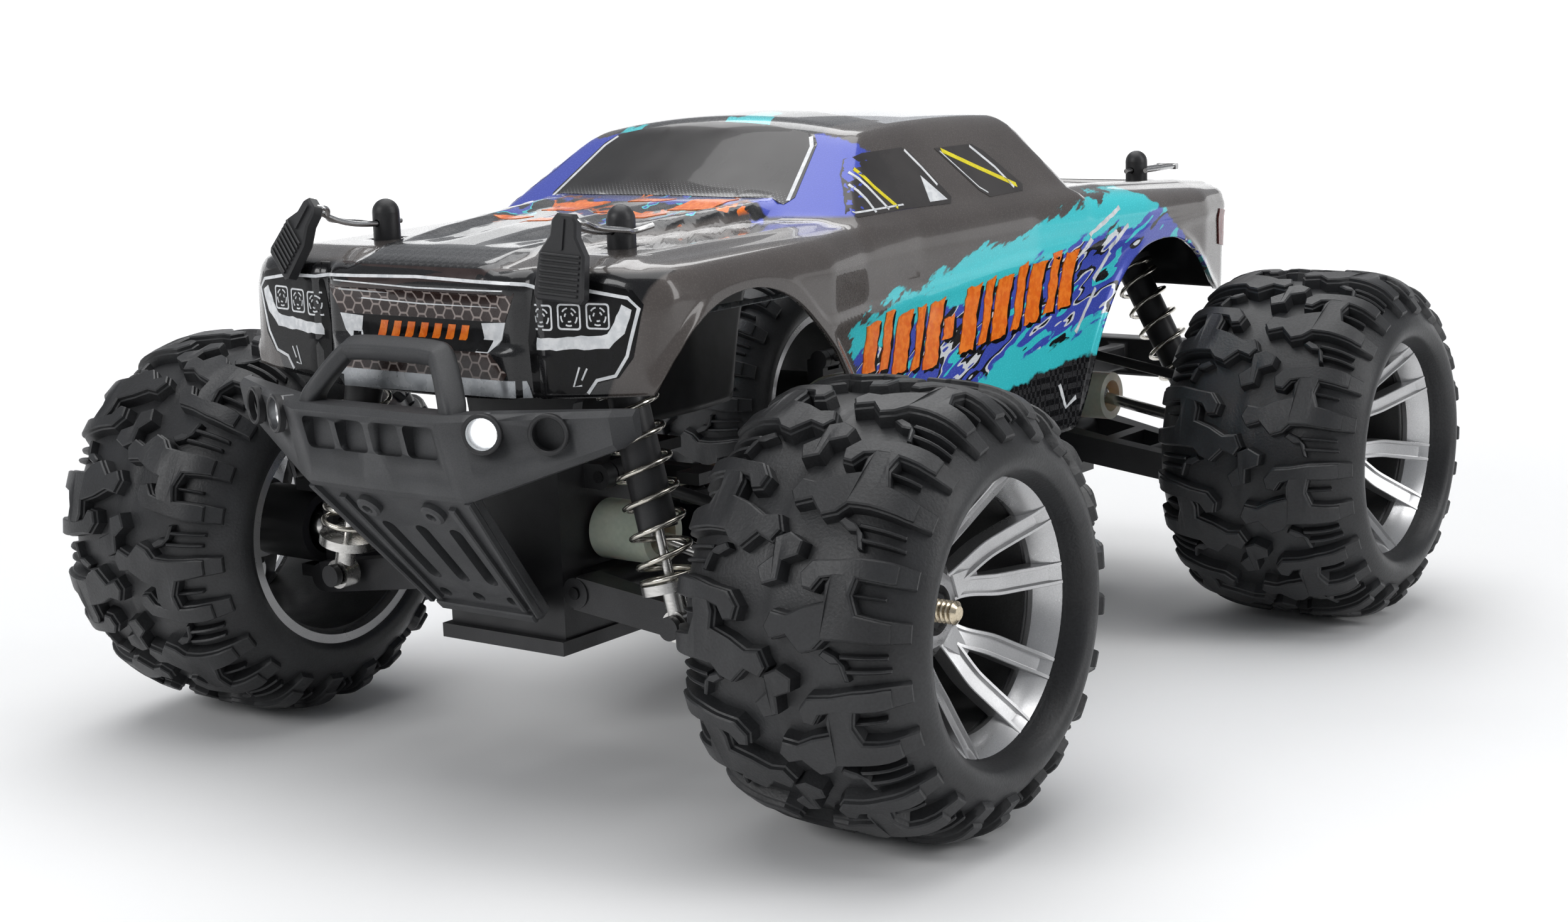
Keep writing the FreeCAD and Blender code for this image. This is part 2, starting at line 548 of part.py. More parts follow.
def gearbox_housing(end):
    """One gearbox case: a hollow block with bores for the outdrives and the input shaft."""
    label = END_NAMES[end] + "_housing"
    half_x, half_y, wall = size("housing_half_width"), size("housing_half_depth"), size("housing_wall")
    y, z = end * AXLE_Y, size("drive_z")
    low = (-half_x, y - half_y, FLOOR_Z)
    shell = block(label + "_block", low, "2 * housing_half_width", "2 * housing_half_depth",
                  f"housing_top - {FLOOR_Z}")
    chamber = barrel(label + "_chamber", (0, y, z), X_AXIS, size("diff_radius") + 0.5, 2 * (half_x - wall))
    bores = [chamber, barrel(label + "_outdrive_bore", (0, y, z), X_AXIS, 4 + 0.1, 2 * half_x + 2),
             rod(label + "_input_bore", (0, y, z), Vector(0, -end, 0), "centre_shaft_radius + 0.1",
                 half_y + 1),
             rod(label + "_pinion_room", (0, y, z), Vector(0, -end, 0), 5.5, half_y - wall)]
    lugs = []
    pivot_z = {"low": size("arm_pivot_z"), "high": size("arm_pivot_z") + size("upper_rise")}
    for side in (LEFT, RIGHT):
        pivot_x = side * size("arm_pivot_x")
        name = f"{label}_{SIDE_NAMES[side]}"
        inner, outer = sorted((side * (half_x - 2), pivot_x))
        lugs.append(block(name + "_low_web", (inner, y - 7.7, pivot_z["low"] - 3.2), outer - inner,
                          15.4, 6.4))
        lugs.append(barrel(name + "_low_lug", (pivot_x, y, pivot_z["low"]), Y_AXIS, "arm_barrel_radius",
                           15.4))
        bores.append(barrel(name + "_low_bore", (pivot_x, y, pivot_z["low"]), Y_AXIS, "pin_radius", 20))
        for sign in (-1, 1):
            lug_y = y + sign * 4.4
            tag = f"{name}_high{sign + 1}"
            lugs.append(block(tag + "_web", (inner, lug_y - 1.5, pivot_z["high"] - 2.6), outer - inner,
                              3, 5.2))
            lugs.append(barrel(tag + "_lug", (pivot_x, lug_y, pivot_z["high"]), Y_AXIS, "eye_radius", 3))
        bores.append(barrel(name + "_high_bore", (pivot_x, y, pivot_z["high"]), Y_AXIS, "pin_radius", 20))
    return cut(label, fuse(label + "_solid", [shell] + lugs), bores)


def centre_driveshaft():
    """Long shaft between the gearboxes, with a bevel pinion at each end and the spur gear."""
    reach = AXLE_Y - size("diff_case_radius") - 0.3
    solids = [barrel("centre_shaft", (0, 0, size("drive_z")), Y_AXIS, "centre_shaft_radius", 2 * reach)]
    for end in (FRONT, REAR):
        solids.append(rod(f"{END_NAMES[end]}_bevel_pinion", (0, end * reach, size("drive_z")),
                          Vector(0, -end, 0),
                          "ring_gear_x - 0.2", 2.8))
    spur_y = size("spur_y")
    solids.append(rod("spur_gear", (0, spur_y, size("drive_z")), Y_AXIS, "spur_radius", "spur_width"))
    node(fuse("centre_shaft_solid", solids), "centre_driveshaft")


def drive_motor():
    """Can motor beside the shaft, with its end bell, shaft and pinion."""
    x, z = -size("motor_x"), size("motor_z")
    can_y = size("spur_y") + 8
    can = rod("motor_can", (x, can_y, z), Y_AXIS, "motor_radius", "motor_length")
    bell = rod("motor_bell", (x, can_y + size("motor_length"), z), Y_AXIS, "motor_radius - 1.5", 2.5)
    shaft = rod("motor_shaft", (x, size("spur_y") - 1, z), Y_AXIS, 1, 12)
    pinion = rod("motor_pinion", (x, size("spur_y"), z), Y_AXIS, "pinion_radius", "spur_width")
    boss = rod("motor_boss", (x, can_y - 2, z), Y_AXIS, 4, 3)
    node(fuse("motor_solid", [can, bell, shaft, pinion, boss]), "drive_motor")


# ---------------------------------------------------------------- steering

def crank_axis():
    return Vector(-size("servo_x"), -size("crank_y"), 0)


def steering_servo():
    """Servo case with its two ears and the output spline's boss."""
    axis = crank_axis()
    width, length = size("servo_width"), size("servo_length")
    low = axis + Vector(-width / 2, -6, FLOOR_Z)
    case = block("servo_case", low, "servo_width", "servo_length", "servo_height")
    ears = block("servo_ears", low + Vector(0, -3, 15), "servo_width", length + 6, 2.4)
    boss = rod("servo_boss", (axis.x, axis.y, FLOOR_Z + size("servo_height")), Z_AXIS, 3.4, 2)
    node(fuse("servo_solid", [case, ears, boss]), "steering_servo")


def steering_crank():
    """Servo-saver crank: a hub on the servo with an arm that drives the steering link."""
    axis = crank_axis()
    hub_low = FLOOR_Z + size("servo_height") + 2.1
    arm_low = size("link_plate_z") + size("link_plate_thickness") + 0.4
    hub = rod("crank_hub", (axis.x, axis.y, hub_low), Z_AXIS, 3.4,
              arm_low + size("crank_thickness") - hub_low)
    arm = block("crank_arm", (axis.x - 2.6, axis.y, arm_low), 5.2, "steering_radius", "crank_thickness")
    boss = rod("crank_boss", (axis.x, axis.y + size("steering_radius"), arm_low), Z_AXIS, 3,
               "crank_thickness")
    pin = rod("crank_pin", (axis.x, axis.y + size("steering_radius"), size("link_plate_z") - 1), Z_AXIS,
              "stud_radius", 5)
    node(fuse("crank_solid", [hub, arm, boss, pin]), "steering_crank")


def steering_link():
    """Flat link behind the front gearbox that carries both tie rods' ball studs."""
    axis = crank_axis()
    stud_y = -AXLE_Y + size("steering_radius")
    reach = size("tie_rod_inner_x")
    bar_front, bar_rear = stud_y + 2.2, stud_y + 6
    pin = Vector(axis.x, axis.y + size("steering_radius"), 0)
    neck_x = -1.6
    outline = [(-reach - 3, stud_y - 3), (-reach + 3, stud_y - 3), (-reach + 3, bar_front),
               (reach - 3, bar_front),
               (reach - 3, stud_y - 3), (reach + 3, stud_y - 3), (reach + 3, bar_rear),
               (neck_x + 1.8, bar_rear), (neck_x + 1.8, pin.y + 3), (pin.x - 3, pin.y + 3),
               (pin.x - 3, pin.y - 3), (neck_x - 1.8, pin.y - 3), (neck_x - 1.8, bar_rear),
               (-reach - 3, bar_rear)]
    place = Placement(Vector(0, 0, size("link_plate_z")), Rotation())
    plate = padded("link_plate", outline, "link_plate_thickness", place)
    hole = rod("link_hole", (pin.x, pin.y, size("link_plate_z") - 1), Z_AXIS, "stud_radius + running_gap", 6)
    drilled = cut("link_drilled", plate, [hole])
    studs = []
    for side in (LEFT, RIGHT):
        spot = (side * reach, stud_y, size("tie_rod_inner_z"))
        studs.append(rod(f"link_{SIDE_NAMES[side]}_stud", spot, Z_AXIS, "stud_radius", 4))
        studs.append(ball(f"link_{SIDE_NAMES[side]}_ball", spot, "ball_radius"))
    node(fuse("link_solid", [drilled] + studs), "steering_link")


def tie_rod(side):
    """Tie rod with a socket at each end, parallel to the lower arm."""
    label = f"tie_rod_{SIDE_NAMES[side]}"
    y = -AXLE_Y + size("steering_radius")
    inner = Vector(side * size("tie_rod_inner_x"), y, size("tie_rod_inner_z"))
    outer = Vector(side * size("kingpin_x"), y, size("tie_rod_inner_z") - size("arm_drop"))
    solids, bores = [rod_between(label + "_rod", inner, outer, "tie_rod_radius")], []
    for name, spot in (("inner", inner), ("outer", outer)):
        solids.append(barrel(f"{label}_{name}_socket", spot, Z_AXIS, "rod_end_radius",
                             size("rod_end_thickness")))
        bores.append(barrel(f"{label}_{name}_bore", spot, Z_AXIS, "ball_radius + ball_gap", 8))
    node(cut(label + "_link", fuse(label + "_solid", solids), bores), label)


# ---------------------------------------------------------------- chassis

def chassis_plate():
    """Tub chassis: a floor, narrow at both ends, with low side walls round the middle."""
    wide, half, tail, end_y = (size("tub_half_width"), size("tub_half_length"), size("tail_half_width"),
                               size("chassis_half_length"))
    quarter = [(wide, half - 12), (tail + 6, half + 6), (tail, half + 14), (tail, end_y)]
    outline = quarter + [(-x, y) for x, y in reversed(quarter)]
    outline += [(-x, -y) for x, y in quarter] + [(x, -y) for x, y in reversed(quarter)]
    floor = padded("chassis_floor", outline, "floor_thickness",
                   Placement(Vector(0, 0, size("chassis_z")), Rotation()))
    inset = size("tub_wall")
    corner = [(wide, half - 12), (tail + 6, half + 6)]
    wall_line = corner + [(-x, y) for x, y in reversed(corner)]
    wall_line += [(-x, -y) for x, y in corner] + [(x, -y) for x, y in reversed(corner)]
    inner = [(wide - inset, half - 13), (tail + 5, half + 20)]
    hollow = inner + [(-x, y) for x, y in reversed(inner)]
    hollow += [(-x, -y) for x, y in inner] + [(x, -y) for x, y in reversed(inner)]
    place = Placement(Vector(0, 0, size("chassis_z")), Rotation())
    walls = padded("chassis_wall_block", wall_line, "tub_height", place)
    room = padded("chassis_room", hollow, "tub_height", Placement(Vector(0, 0, FLOOR_Z), Rotation()))
    tub = fuse("chassis_tub", [floor, cut("chassis_walls", walls, [room])])
    recesses = []
    for index, spot in enumerate(chassis_screw_spots()):
        recesses.append(rod(f"chassis_recess{index}", (spot.x, spot.y, size("chassis_z") - 1), Z_AXIS,
                            "screw_head_radius + 0.3", size("screw_head_height") + 1.1))
        recesses.append(rod(f"chassis_hole{index}", (spot.x, spot.y, size("chassis_z") - 1), Z_AXIS,
                            "screw_radius + 0.1", 6))
    node(cut("chassis_drilled", tub, recesses), "chassis_plate")


def chassis_screw_spots():
    """Places of the countersunk screws under the gearboxes."""
    return [Vector(x, end * (AXLE_Y + offset), size("chassis_z"))
            for end in (FRONT, REAR) for x in (-11, 11) for offset in (-10.5, 10.5)]


def shock_tower(end):
    """Upright plate that carries the dampers and the body posts."""
    name = END_NAMES[end]
    top_x, top_z = size(name + "_damper_top_x"), size(name + "_damper_top_z")
    post_x = size(name + "_post_x")
    base = size("housing_top")
    half = [(13, base), (15, base + 12), (top_x - 6, top_z - 9), (max(top_x, post_x) + 4.5, top_z - 4),
            (post_x + 4, top_z + 4.5), (post_x - 8, top_z + 4.5), (12, base + 20), (6, base + 16)]
    outline = half + [(-x, z) for x, z in reversed(half)]
    y = end * (AXLE_Y + size("tower_offset"))
    upright = Placement(Vector(0, y + size("tower_thickness") / 2, 0), Rotation(X_AXIS, 90))
    solids, holes = [padded(name + "_tower_plate", outline, "tower_thickness", upright)], []
    boss_length = size("damper_offset") - size("tower_offset") - size("damper_eye_width") / 2 - 0.2
    for side in (LEFT, RIGHT):
        spot = damper_head(end, side)
        solids.append(rod(f"{name}_tower_boss_{SIDE_NAMES[side]}", (spot.x, y, spot.z), Vector(0, end, 0),
                          "eye_radius", boss_length))
        holes.append(barrel(f"{name}_tower_hole_{SIDE_NAMES[side]}", (spot.x, y, spot.z), Y_AXIS,
                            "damper_screw_radius", 20))
    return cut(name + "_tower", fuse(name + "_tower_solid", solids), holes)


def post_spot(end, side):
    """Foot of a body post, on top of its tower."""
    name = END_NAMES[end]
    foot_z = size(name + "_damper_top_z") + 4.5
    return Vector(side * size(name + "_post_x"), end * (AXLE_Y + size(name + "_post_offset")), foot_z)


def body_post(end, side):
    """Round-topped post with its foot and a cross hole for the clip."""
    name = corner_name("post", end, side)
    foot = post_spot(end, side)
    top = size(END_NAMES[end] + "_post_top")
    radius = size("post_radius")
    shaft = rod(name + "_shaft", foot, Z_AXIS, "post_radius", top - radius - foot.z)
    dome = ball(name + "_dome", (foot.x, foot.y, top - radius), "post_radius")
    tower_y = end * (AXLE_Y + size("tower_offset"))
    near, far = sorted((tower_y, foot.y))
    base = block(name + "_base", (foot.x - 3.6, near - 1.5, foot.z), 7.2, far - near + 4.4, 2.5)
    clip_z = size(END_NAMES[end] + "_clip_z")
    hole = barrel(name + "_clip_hole", (foot.x, foot.y, clip_z), Y_AXIS, "clip_hole", 12)
    return cut(name, fuse(name + "_solid", [shaft, dome, base]), [hole])


def body_clip(end, side):
    """Wire clip: a straight leg through the post, a turn and a bowed leg outside the post."""
    name = corner_name("clip", end, side)
    foot = post_spot(end, side)
    z = size(END_NAMES[end] + "_clip_z")
    inner_y = foot.y - end * 6
    length = size("clip_length")
    wire = size("clip_wire")
    leg = rod(name + "_leg", (foot.x, inner_y, z), Vector(0, end, 0), "clip_wire", length)
    outer_x = foot.x + side * 4.2
    back = rod(name + "_back_leg", (outer_x, inner_y + end * 3, z), Vector(0, end, 0), "clip_wire",
               length - 3)
    tail_y = inner_y + end * length
    half = wire + 0.2
    low_x, high_x = min(foot.x, outer_x) - half, max(foot.x, outer_x) + half
    turn = block(name + "_turn", (low_x, tail_y - half, z - half), high_x - low_x, 2 * half, 2 * half)
    solids = [leg, back, turn]
    if end == FRONT:
        solids.append(block(name + "_tab", (low_x - 3.2, tail_y - 9, z - 1.2), 12, 10, 2.2))
    return fuse(name, solids)


def front_bumper():
    """Bumper panel with cell openings, side wings with lamp sockets, a hoop and a slanted skid plate."""
    front_y = -size("overall_length") / 2
    low, top, half = size("panel_bottom"), size("panel_top"), size("panel_half_width")
    depth = size("panel_depth")
    panel = block("bumper_panel", (-half, front_y, low), "2 * panel_half_width", "panel_depth",
                  "panel_top - panel_bottom")
    cells = [block(f"bumper_cell{index}", (-half + 2 + 9.2 * index, front_y - 1, top - 8.4), 8.4, 4, 6.4)
             for index in range(4)]
    wings = []
    for side in (LEFT, RIGHT):
        plan = [(half - 0.5, front_y + 0.4), (50, front_y + 13.5), (53, front_y + 17.5), (49, front_y + 19.5),
                (half - 0.5, front_y + depth)]
        lift = Placement(Vector(0, 0, 76.5), Rotation())
        wings.append(padded(f"bumper_{SIDE_NAMES[side]}_wing", mirrored(plan, side), 8.2, lift))
    sockets = [lamp(side, spot, "socket", 0) for side in (LEFT, RIGHT) for spot in (0, 1)]
    hoop_outer = [(-half + 1, 0), (half - 1, 0), (12, 14), (-12, 14)]
    hoop_inner = [(-half + 5, -1), (half - 5, -1), (9.6, 11), (-9.6, 11)]
    lean = Placement(Vector(0, front_y + 5, top - 0.4), Rotation(X_AXIS, 50))
    hoop = padded("bumper_hoop", hoop_outer, 3.6, lean, [hoop_inner])
    skid_run, skid_fall = 27.3, 31
    angle = math.degrees(math.atan2(skid_fall, skid_run))
    length = math.hypot(skid_run, skid_fall)
    plan = [(-23, 0), (23, 0), (15.4, length), (-15.4, length)]
    slots = [[(x - 1.6, 14), (x + 1.6, 14), (x + 1.6, 33), (x - 1.6, 33)] for x in (-8, 0, 8)]
    tilt = Placement(Vector(0, front_y + 6.6, low + 0.5), Rotation(X_AXIS, -angle))
    skid = padded("bumper_skid", plan, "skid_thickness", tilt, slots)
    gearbox_front = -AXLE_Y - size("housing_half_depth")
    beam = block("bumper_beam", (-12, front_y + depth - 1, 62), 24, gearbox_front - front_y - depth + 1, 7)
    foot = block("bumper_foot", (-12, gearbox_front - 5, FLOOR_Z + 2), 24, 5, 8)
    whole = fuse("bumper_solid", [panel, hoop, skid, beam, foot] + wings)
    node(cut("bumper_cut", whole, cells + sockets), "front_bumper")


def lamp(side, spot, kind, shrink):
    """A round lamp or its socket in a wing's slanted face: spot 0 is inboard, 1 outboard."""
    front_y = -size("overall_length") / 2
    inboard = Vector(side * 28, front_y + 3.9, 80.6)
    step = Vector(side * 12, 5.25, 0)
    facing = Vector(side * 0.4, -0.92, 0)
    centre = inboard + step * spot
    name = f"{kind}_{SIDE_NAMES[side]}{spot}"
    return rod(name, centre + facing * 0.6, facing * -1, size("lamp_radius") - shrink, "lamp_depth")


def bumper_lights():
    """The two lit lenses, one in each wing's inboard socket."""
    node(group("lights", [lamp(side, 0, "lens", 0.1) for side in (LEFT, RIGHT)]), "bumper_lights")


def rear_bumper():
    """Plain rear bar on two rails from the rear gearbox."""
    rear_y = size("overall_length") / 2
    start_y = AXLE_Y + size("housing_half_depth")
    half, z = size("rear_bar_half_width"), size("rear_bar_z")
    bar = block("rear_bar", (-half, rear_y - size("rear_bar_depth"), z), "2 * rear_bar_half_width",
                "rear_bar_depth", "rear_bar_height")
    rails = [block(f"rear_rail{index}", (x, start_y, z + 2), 5, rear_y - start_y - 3, 7) for index, x in
             enumerate((-12, 7))]
    plate = block("rear_plate", (-12, start_y, z - 8), 24, 3, 19)
    node(fuse("rear_bumper_solid", [bar, plate] + rails), "rear_bumper")


def electrics():
    """Battery on the left of the shaft, receiver and speed controller on the right."""
    pack = block("battery_block", (8, -45, FLOOR_Z + 0.1), "battery_width", "battery_length",
                 "battery_height")
    node(rounded("battery_case", pack, 1.5), "battery_pack")
    controller = block("esc_block", (-33, -42, FLOOR_Z + 0.1), "esc_width", "esc_length", "esc_height")
    node(rounded("esc_case", controller, 1), "receiver_esc")


def rounded(name, solid, radius):
    """The solid with every edge rounded."""
    doc.recompute()
    fillet = doc.addObject("Part::Fillet", name)
    fillet.Base = solid
    fillet.Edges = [(index + 1, radius, radius) for index in range(len(solid.Shape.Edges))]
    return fillet


def screws_and_pins():
    """Inner hinge pins, damper screws at the towers and countersunk screws under the gearboxes."""
    pieces = []
    for end, side in CORNERS:
        pivot = arm_point(end, side, 0)
        pieces.append(barrel(corner_name("arm_pin", end, side), pivot, Y_AXIS, "pin_radius", 31))
        upper = pivot + Vector(0, 0, size("upper_rise"))
        pieces.append(barrel(corner_name("link_pin", end, side), upper, Y_AXIS, "pin_radius", 12.4))
        head = damper_head(end, side) + Vector(0, end * 2.4, 0)
        shank = rod(corner_name("damper_screw", end, side), head, Vector(0, -end, 0),
                    "damper_screw_radius", 12)
        cap = rod(corner_name("damper_screw_head", end, side), head, Vector(0, end, 0), "screw_head_radius",
                  "screw_head_height")
        pieces.append(fuse(corner_name("upper_damper_screw", end, side), [shank, cap]))
    for index, spot in enumerate(chassis_screw_spots()):
        head = rod(f"floor_screw_head{index}", spot + Vector(0, 0, 0.3), Z_AXIS, "screw_head_radius",
                   size("screw_head_height") - 0.2)
        shank = rod(f"floor_screw_shank{index}", spot + Vector(0, 0, 0.3), Z_AXIS, "screw_radius", 2.7)
        pieces.append(fuse(f"floor_screw{index}", [head, shank]))
    node(group("fasteners", pieces), "screws_and_pins")


# ---------------------------------------------------------------- body shell

def profile_solid(points, direction, inset, depth):
    """An outline extruded along a direction, shrunk evenly by the inset."""
    wire = Part.makePolygon(points + points[:1])
    face = Part.Face(wire)
    if inset:
        face = Part.Face(face.makeOffset2D(-inset, 2).Wires)
    return face.extrude(direction * depth)


def shell_form(inset):
    """The closed outer form of the pickup body: where its side, end and plan profiles meet."""
    side_view = [(-131, 40), (-131, 84), (-128.5, 108), (-125, 112), (-53.7, 116.5), (-33, 131), (-27, 134),
                 (24, 134.5), (36, 129.5), (38, 115.5), (46, 112), (118, 109), (122.5, 105),
                 (121, 79.5), (121, 40)]
    end_view = [(58, 30), (58, 103), (51, 112.5), (41, 127.5), (31, 135.5)]
    plan = [(34, -131.5), (50, -126.5), (56, -120), (58, -104), (58, -70), (54, -52), (52, 20),
            (56, 48), (58, 70),
            (56, 110), (49, 122.8)]
    side = profile_solid([Vector(-70, y, z) for y, z in side_view], X_AXIS, inset, 140)
    end = profile_solid([Vector(x, -150, z) for x, z in end_view] +
                        [Vector(-x, -150, z) for x, z in reversed(end_view)], Y_AXIS, inset, 300)
    top = profile_solid([Vector(x, y, 0) for x, y in plan] +
                        [Vector(-x, y, 0) for x, y in reversed(plan)], Z_AXIS, inset, 160)
    return side.common(end).common(top)


def body_shell():
    """Thin moulded pickup body, open underneath, with wheel arches and a hole for each post."""
    outer, inner = shell_form(0), shell_form(size("shell_wall"))
    hull = outer.cut([inner, inner.translated(Vector(0, 0, -10))])
    below = [(-140, 20), (-140, 84), (-123, 86.5), (-100, 102.5), (-86, 102.5), (-70, 89), (-65, 83),
             (-52, 70), (-47, size("flank_bottom")), (60, size("flank_bottom")), (60, 79.5),
             (140, 79.5), (140, 20)]
    under_cut = profile_solid([Vector(-70, y, z) for y, z in below], X_AXIS, 0, 140)
    rear_arch = Part.makeCylinder(size("rear_arch_radius"), 140,
                                  Vector(-70, size("rear_arch_y"), AXLE_Z), X_AXIS)
    tail_panel = Part.makeBox(140, 20, 60, Vector(-70, size("tail_panel_y"), size("housing_top")))
    tools = [under_cut, rear_arch.cut(tail_panel)]
    for end, side in CORNERS:
        spot = post_spot(end, side)
        tools.append(Part.makeCylinder(size("post_hole_radius"), 40, Vector(spot.x, spot.y, 95)))
    feature = doc.addObject("Part::Feature", "pickup_shell")
    feature.Shape = hull.cut(tools)
    node(feature, "body_shell")


# ---------------------------------------------------------------- assembly

def build():
    chassis_plate()
    front_bumper()
    bumper_lights()
    rear_bumper()
    node(group("housings", [gearbox_housing(end) for end in (FRONT, REAR)]), "gearbox_housings")
    node(group("towers", [shock_tower(end) for end in (FRONT, REAR)]), "shock_towers")
    node(group("posts", [body_post(end, side) for end, side in CORNERS]), "body_posts")
    drive_motor()
    steering_servo()
    electrics()
    screws_and_pins()
    for end, side in CORNERS:
        for piece in (tyre, rim, lower_arm, upper_link, shock_body, shock_shaft, spring, dogbone):
            piece(end, side)
    for side in (LEFT, RIGHT):
        for piece in (c_hub, knuckle, rear_hub, tie_rod):
            piece(side)
    for end in (FRONT, REAR):
        differential(end)
        clips = [body_clip(end, side) for side in (LEFT, RIGHT)]
        node(group(f"{END_NAMES[end]}_clips", clips), f"body_clips_{END_NAMES[end]}")
    centre_driveshaft()
    steering_crank()
    steering_link()
    body_shell()


def check():
    """Stop if any object failed or any sub-part is empty or broken."""
    for thing in doc.Objects:
        if set(thing.State) & {"Invalid", "Error"}:
            raise RuntimeError(f"{thing.Name} ({thing.Label}) failed: {thing.State}")
    for thing in nodes:
        if thing.Shape.isNull() or not thing.Shape.isValid() or not thing.Shape.Solids:
            raise RuntimeError(f"{thing.Label} has no valid solid")


build()
doc.recompute()
check()
os.makedirs("parts", exist_ok=True)
for thing in nodes:
    thing.Shape.exportStep(f"parts/{thing.Label}.step")
print(len(nodes), "sub-parts written")
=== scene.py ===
"""Looks of the radio-controlled monster truck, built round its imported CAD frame.

Lengths in the functions are millimetres; every mesh is scaled to metres when it is made.
"""
import json
import math
import random

import bmesh
import bpy
from mathutils import Matrix, Vector, geometry
from mathutils.bvhtree import BVHTree


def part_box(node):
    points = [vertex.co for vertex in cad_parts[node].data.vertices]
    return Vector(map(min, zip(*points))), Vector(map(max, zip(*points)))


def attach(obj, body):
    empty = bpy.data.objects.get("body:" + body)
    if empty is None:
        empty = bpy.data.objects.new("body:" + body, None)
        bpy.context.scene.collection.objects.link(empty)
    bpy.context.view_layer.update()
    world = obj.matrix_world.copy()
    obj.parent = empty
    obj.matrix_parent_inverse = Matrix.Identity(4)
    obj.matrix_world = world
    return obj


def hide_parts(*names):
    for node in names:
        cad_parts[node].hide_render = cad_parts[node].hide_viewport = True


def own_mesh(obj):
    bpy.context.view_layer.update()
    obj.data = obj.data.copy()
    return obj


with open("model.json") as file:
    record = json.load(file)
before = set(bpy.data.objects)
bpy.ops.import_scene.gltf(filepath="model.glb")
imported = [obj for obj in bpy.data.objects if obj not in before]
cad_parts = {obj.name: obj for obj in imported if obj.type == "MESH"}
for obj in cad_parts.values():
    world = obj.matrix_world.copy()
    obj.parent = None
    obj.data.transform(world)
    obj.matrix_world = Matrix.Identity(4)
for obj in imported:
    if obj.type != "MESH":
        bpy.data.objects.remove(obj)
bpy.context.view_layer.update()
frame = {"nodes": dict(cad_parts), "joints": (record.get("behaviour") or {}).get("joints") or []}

# A turned profile starts and ends this far off its axis, so that no face shrinks to nothing.
AXIS = 0.0001
MM = 0.001
ENDS = {"front": -1, "rear": 1}
SIDES = {"left": 1, "right": -1}
CORNERS = [(end, side) for end in ENDS for side in SIDES]
WHEEL_X, WHEEL_Y, WHEEL_Z = 89, 96, 44
WHEEL_PHASES = (4, 17, 27, 9)
PITCHES = 11
TYRE_SIDE = 27.15
AWAY = Vector((-0.593, 0.805, 0))
JOINTS = {joint["name"]: joint for joint in frame["joints"]}


# ---------------------------------------------------------------- small helpers

def lerp(a, b, t):
    """The value a share t of the way from a to b."""
    return a + (b - a) * t


def clamp(value, low=0.0, high=1.0):
    """The value kept between low and high."""
    return max(low, min(high, value))


def smooth(low, high, value):
    """0 below low, 1 above high, eased between."""
    t = clamp((value - low) / (high - low))
    return t * t * (3 - 2 * t)


def along(points, value):
    """Second coordinate of a polyline at the given first coordinate."""
    if value <= points[0][0]:
        return points[0][1]
    for (x0, y0), (x1, y1) in zip(points, points[1:]):
        if value <= x1:
            return lerp(y0, y1, (value - x0) / (x1 - x0))
    return points[-1][1]


def soft_min(a, b, radius):
    """The lower of two values, rounded where they meet."""
    h = clamp(0.5 + 0.5 * (b - a) / radius)
    return lerp(b, a, h) - radius * h * (1 - h)


def soft_max(a, b, radius):
    """The higher of two values, rounded where they meet."""
    return -soft_min(-a, -b, radius)


def curve_points(points, steps=6):
    """Open Catmull-Rom curve through the points, each a tuple of numbers."""
    last = len(points) - 1
    result = []
    for i in range(last):
        picks = [points[clamp(i + k, 0, last)] for k in (-1, 0, 1, 2)]
        for step in range(steps):
            t = step / steps
            result.append(tuple(
                0.5 * (2 * b + (c - a) * t + (2 * a - 5 * b + 4 * c - d) * t * t
                       + (3 * b - a - 3 * c + d) * t ** 3) for a, b, c, d in zip(*picks)))
    result.append(tuple(points[-1]))
    return result


def heading(line, i):
    """Unit direction of a line of points at its point i."""
    return (line[min(i + 1, len(line) - 1)] - line[max(i - 1, 0)]).normalized()


def spun(degrees, axis):
    """Rotation matrix about a named axis."""
    return Matrix.Rotation(math.radians(degrees), 4, axis)


# ---------------------------------------------------------------- mesh helpers

def quads(rings, count, joined=False):
    """Faces between rings of count points; joined also links the last ring to the first."""
    faces = []
    for r in range(rings if joined else rings - 1):
        a, b = r * count, (r + 1) % rings * count
        for i in range(count):
            j = (i + 1) % count
            faces.append((a + i, a + j, b + j, b + i))
    return faces


def mesh_piece(name, vertices, faces, materials, crease=40):
    """A linked object from millimetre vertices, smooth-shaded up to the crease angle."""
    mesh = bpy.data.meshes.new(name)
    mesh.from_pydata([Vector(v) * MM for v in vertices], [], faces)
    bm = bmesh.new()
    bm.from_mesh(mesh)
    bmesh.ops.recalc_face_normals(bm, faces=bm.faces)
    bm.to_mesh(mesh)
    bm.free()
    return linked(name, mesh, materials, crease)


def linked(name, mesh, materials, crease=40):
    """Link a finished mesh to the scene with its materials and shading."""
    for material in materials if isinstance(materials, (list, tuple)) else [materials]:
        mesh.materials.append(material)
    mesh.shade_smooth()
    mesh.set_sharp_from_angle(angle=math.radians(crease))
    piece = bpy.data.objects.new(name, mesh)
    bpy.context.scene.collection.objects.link(piece)
    return piece


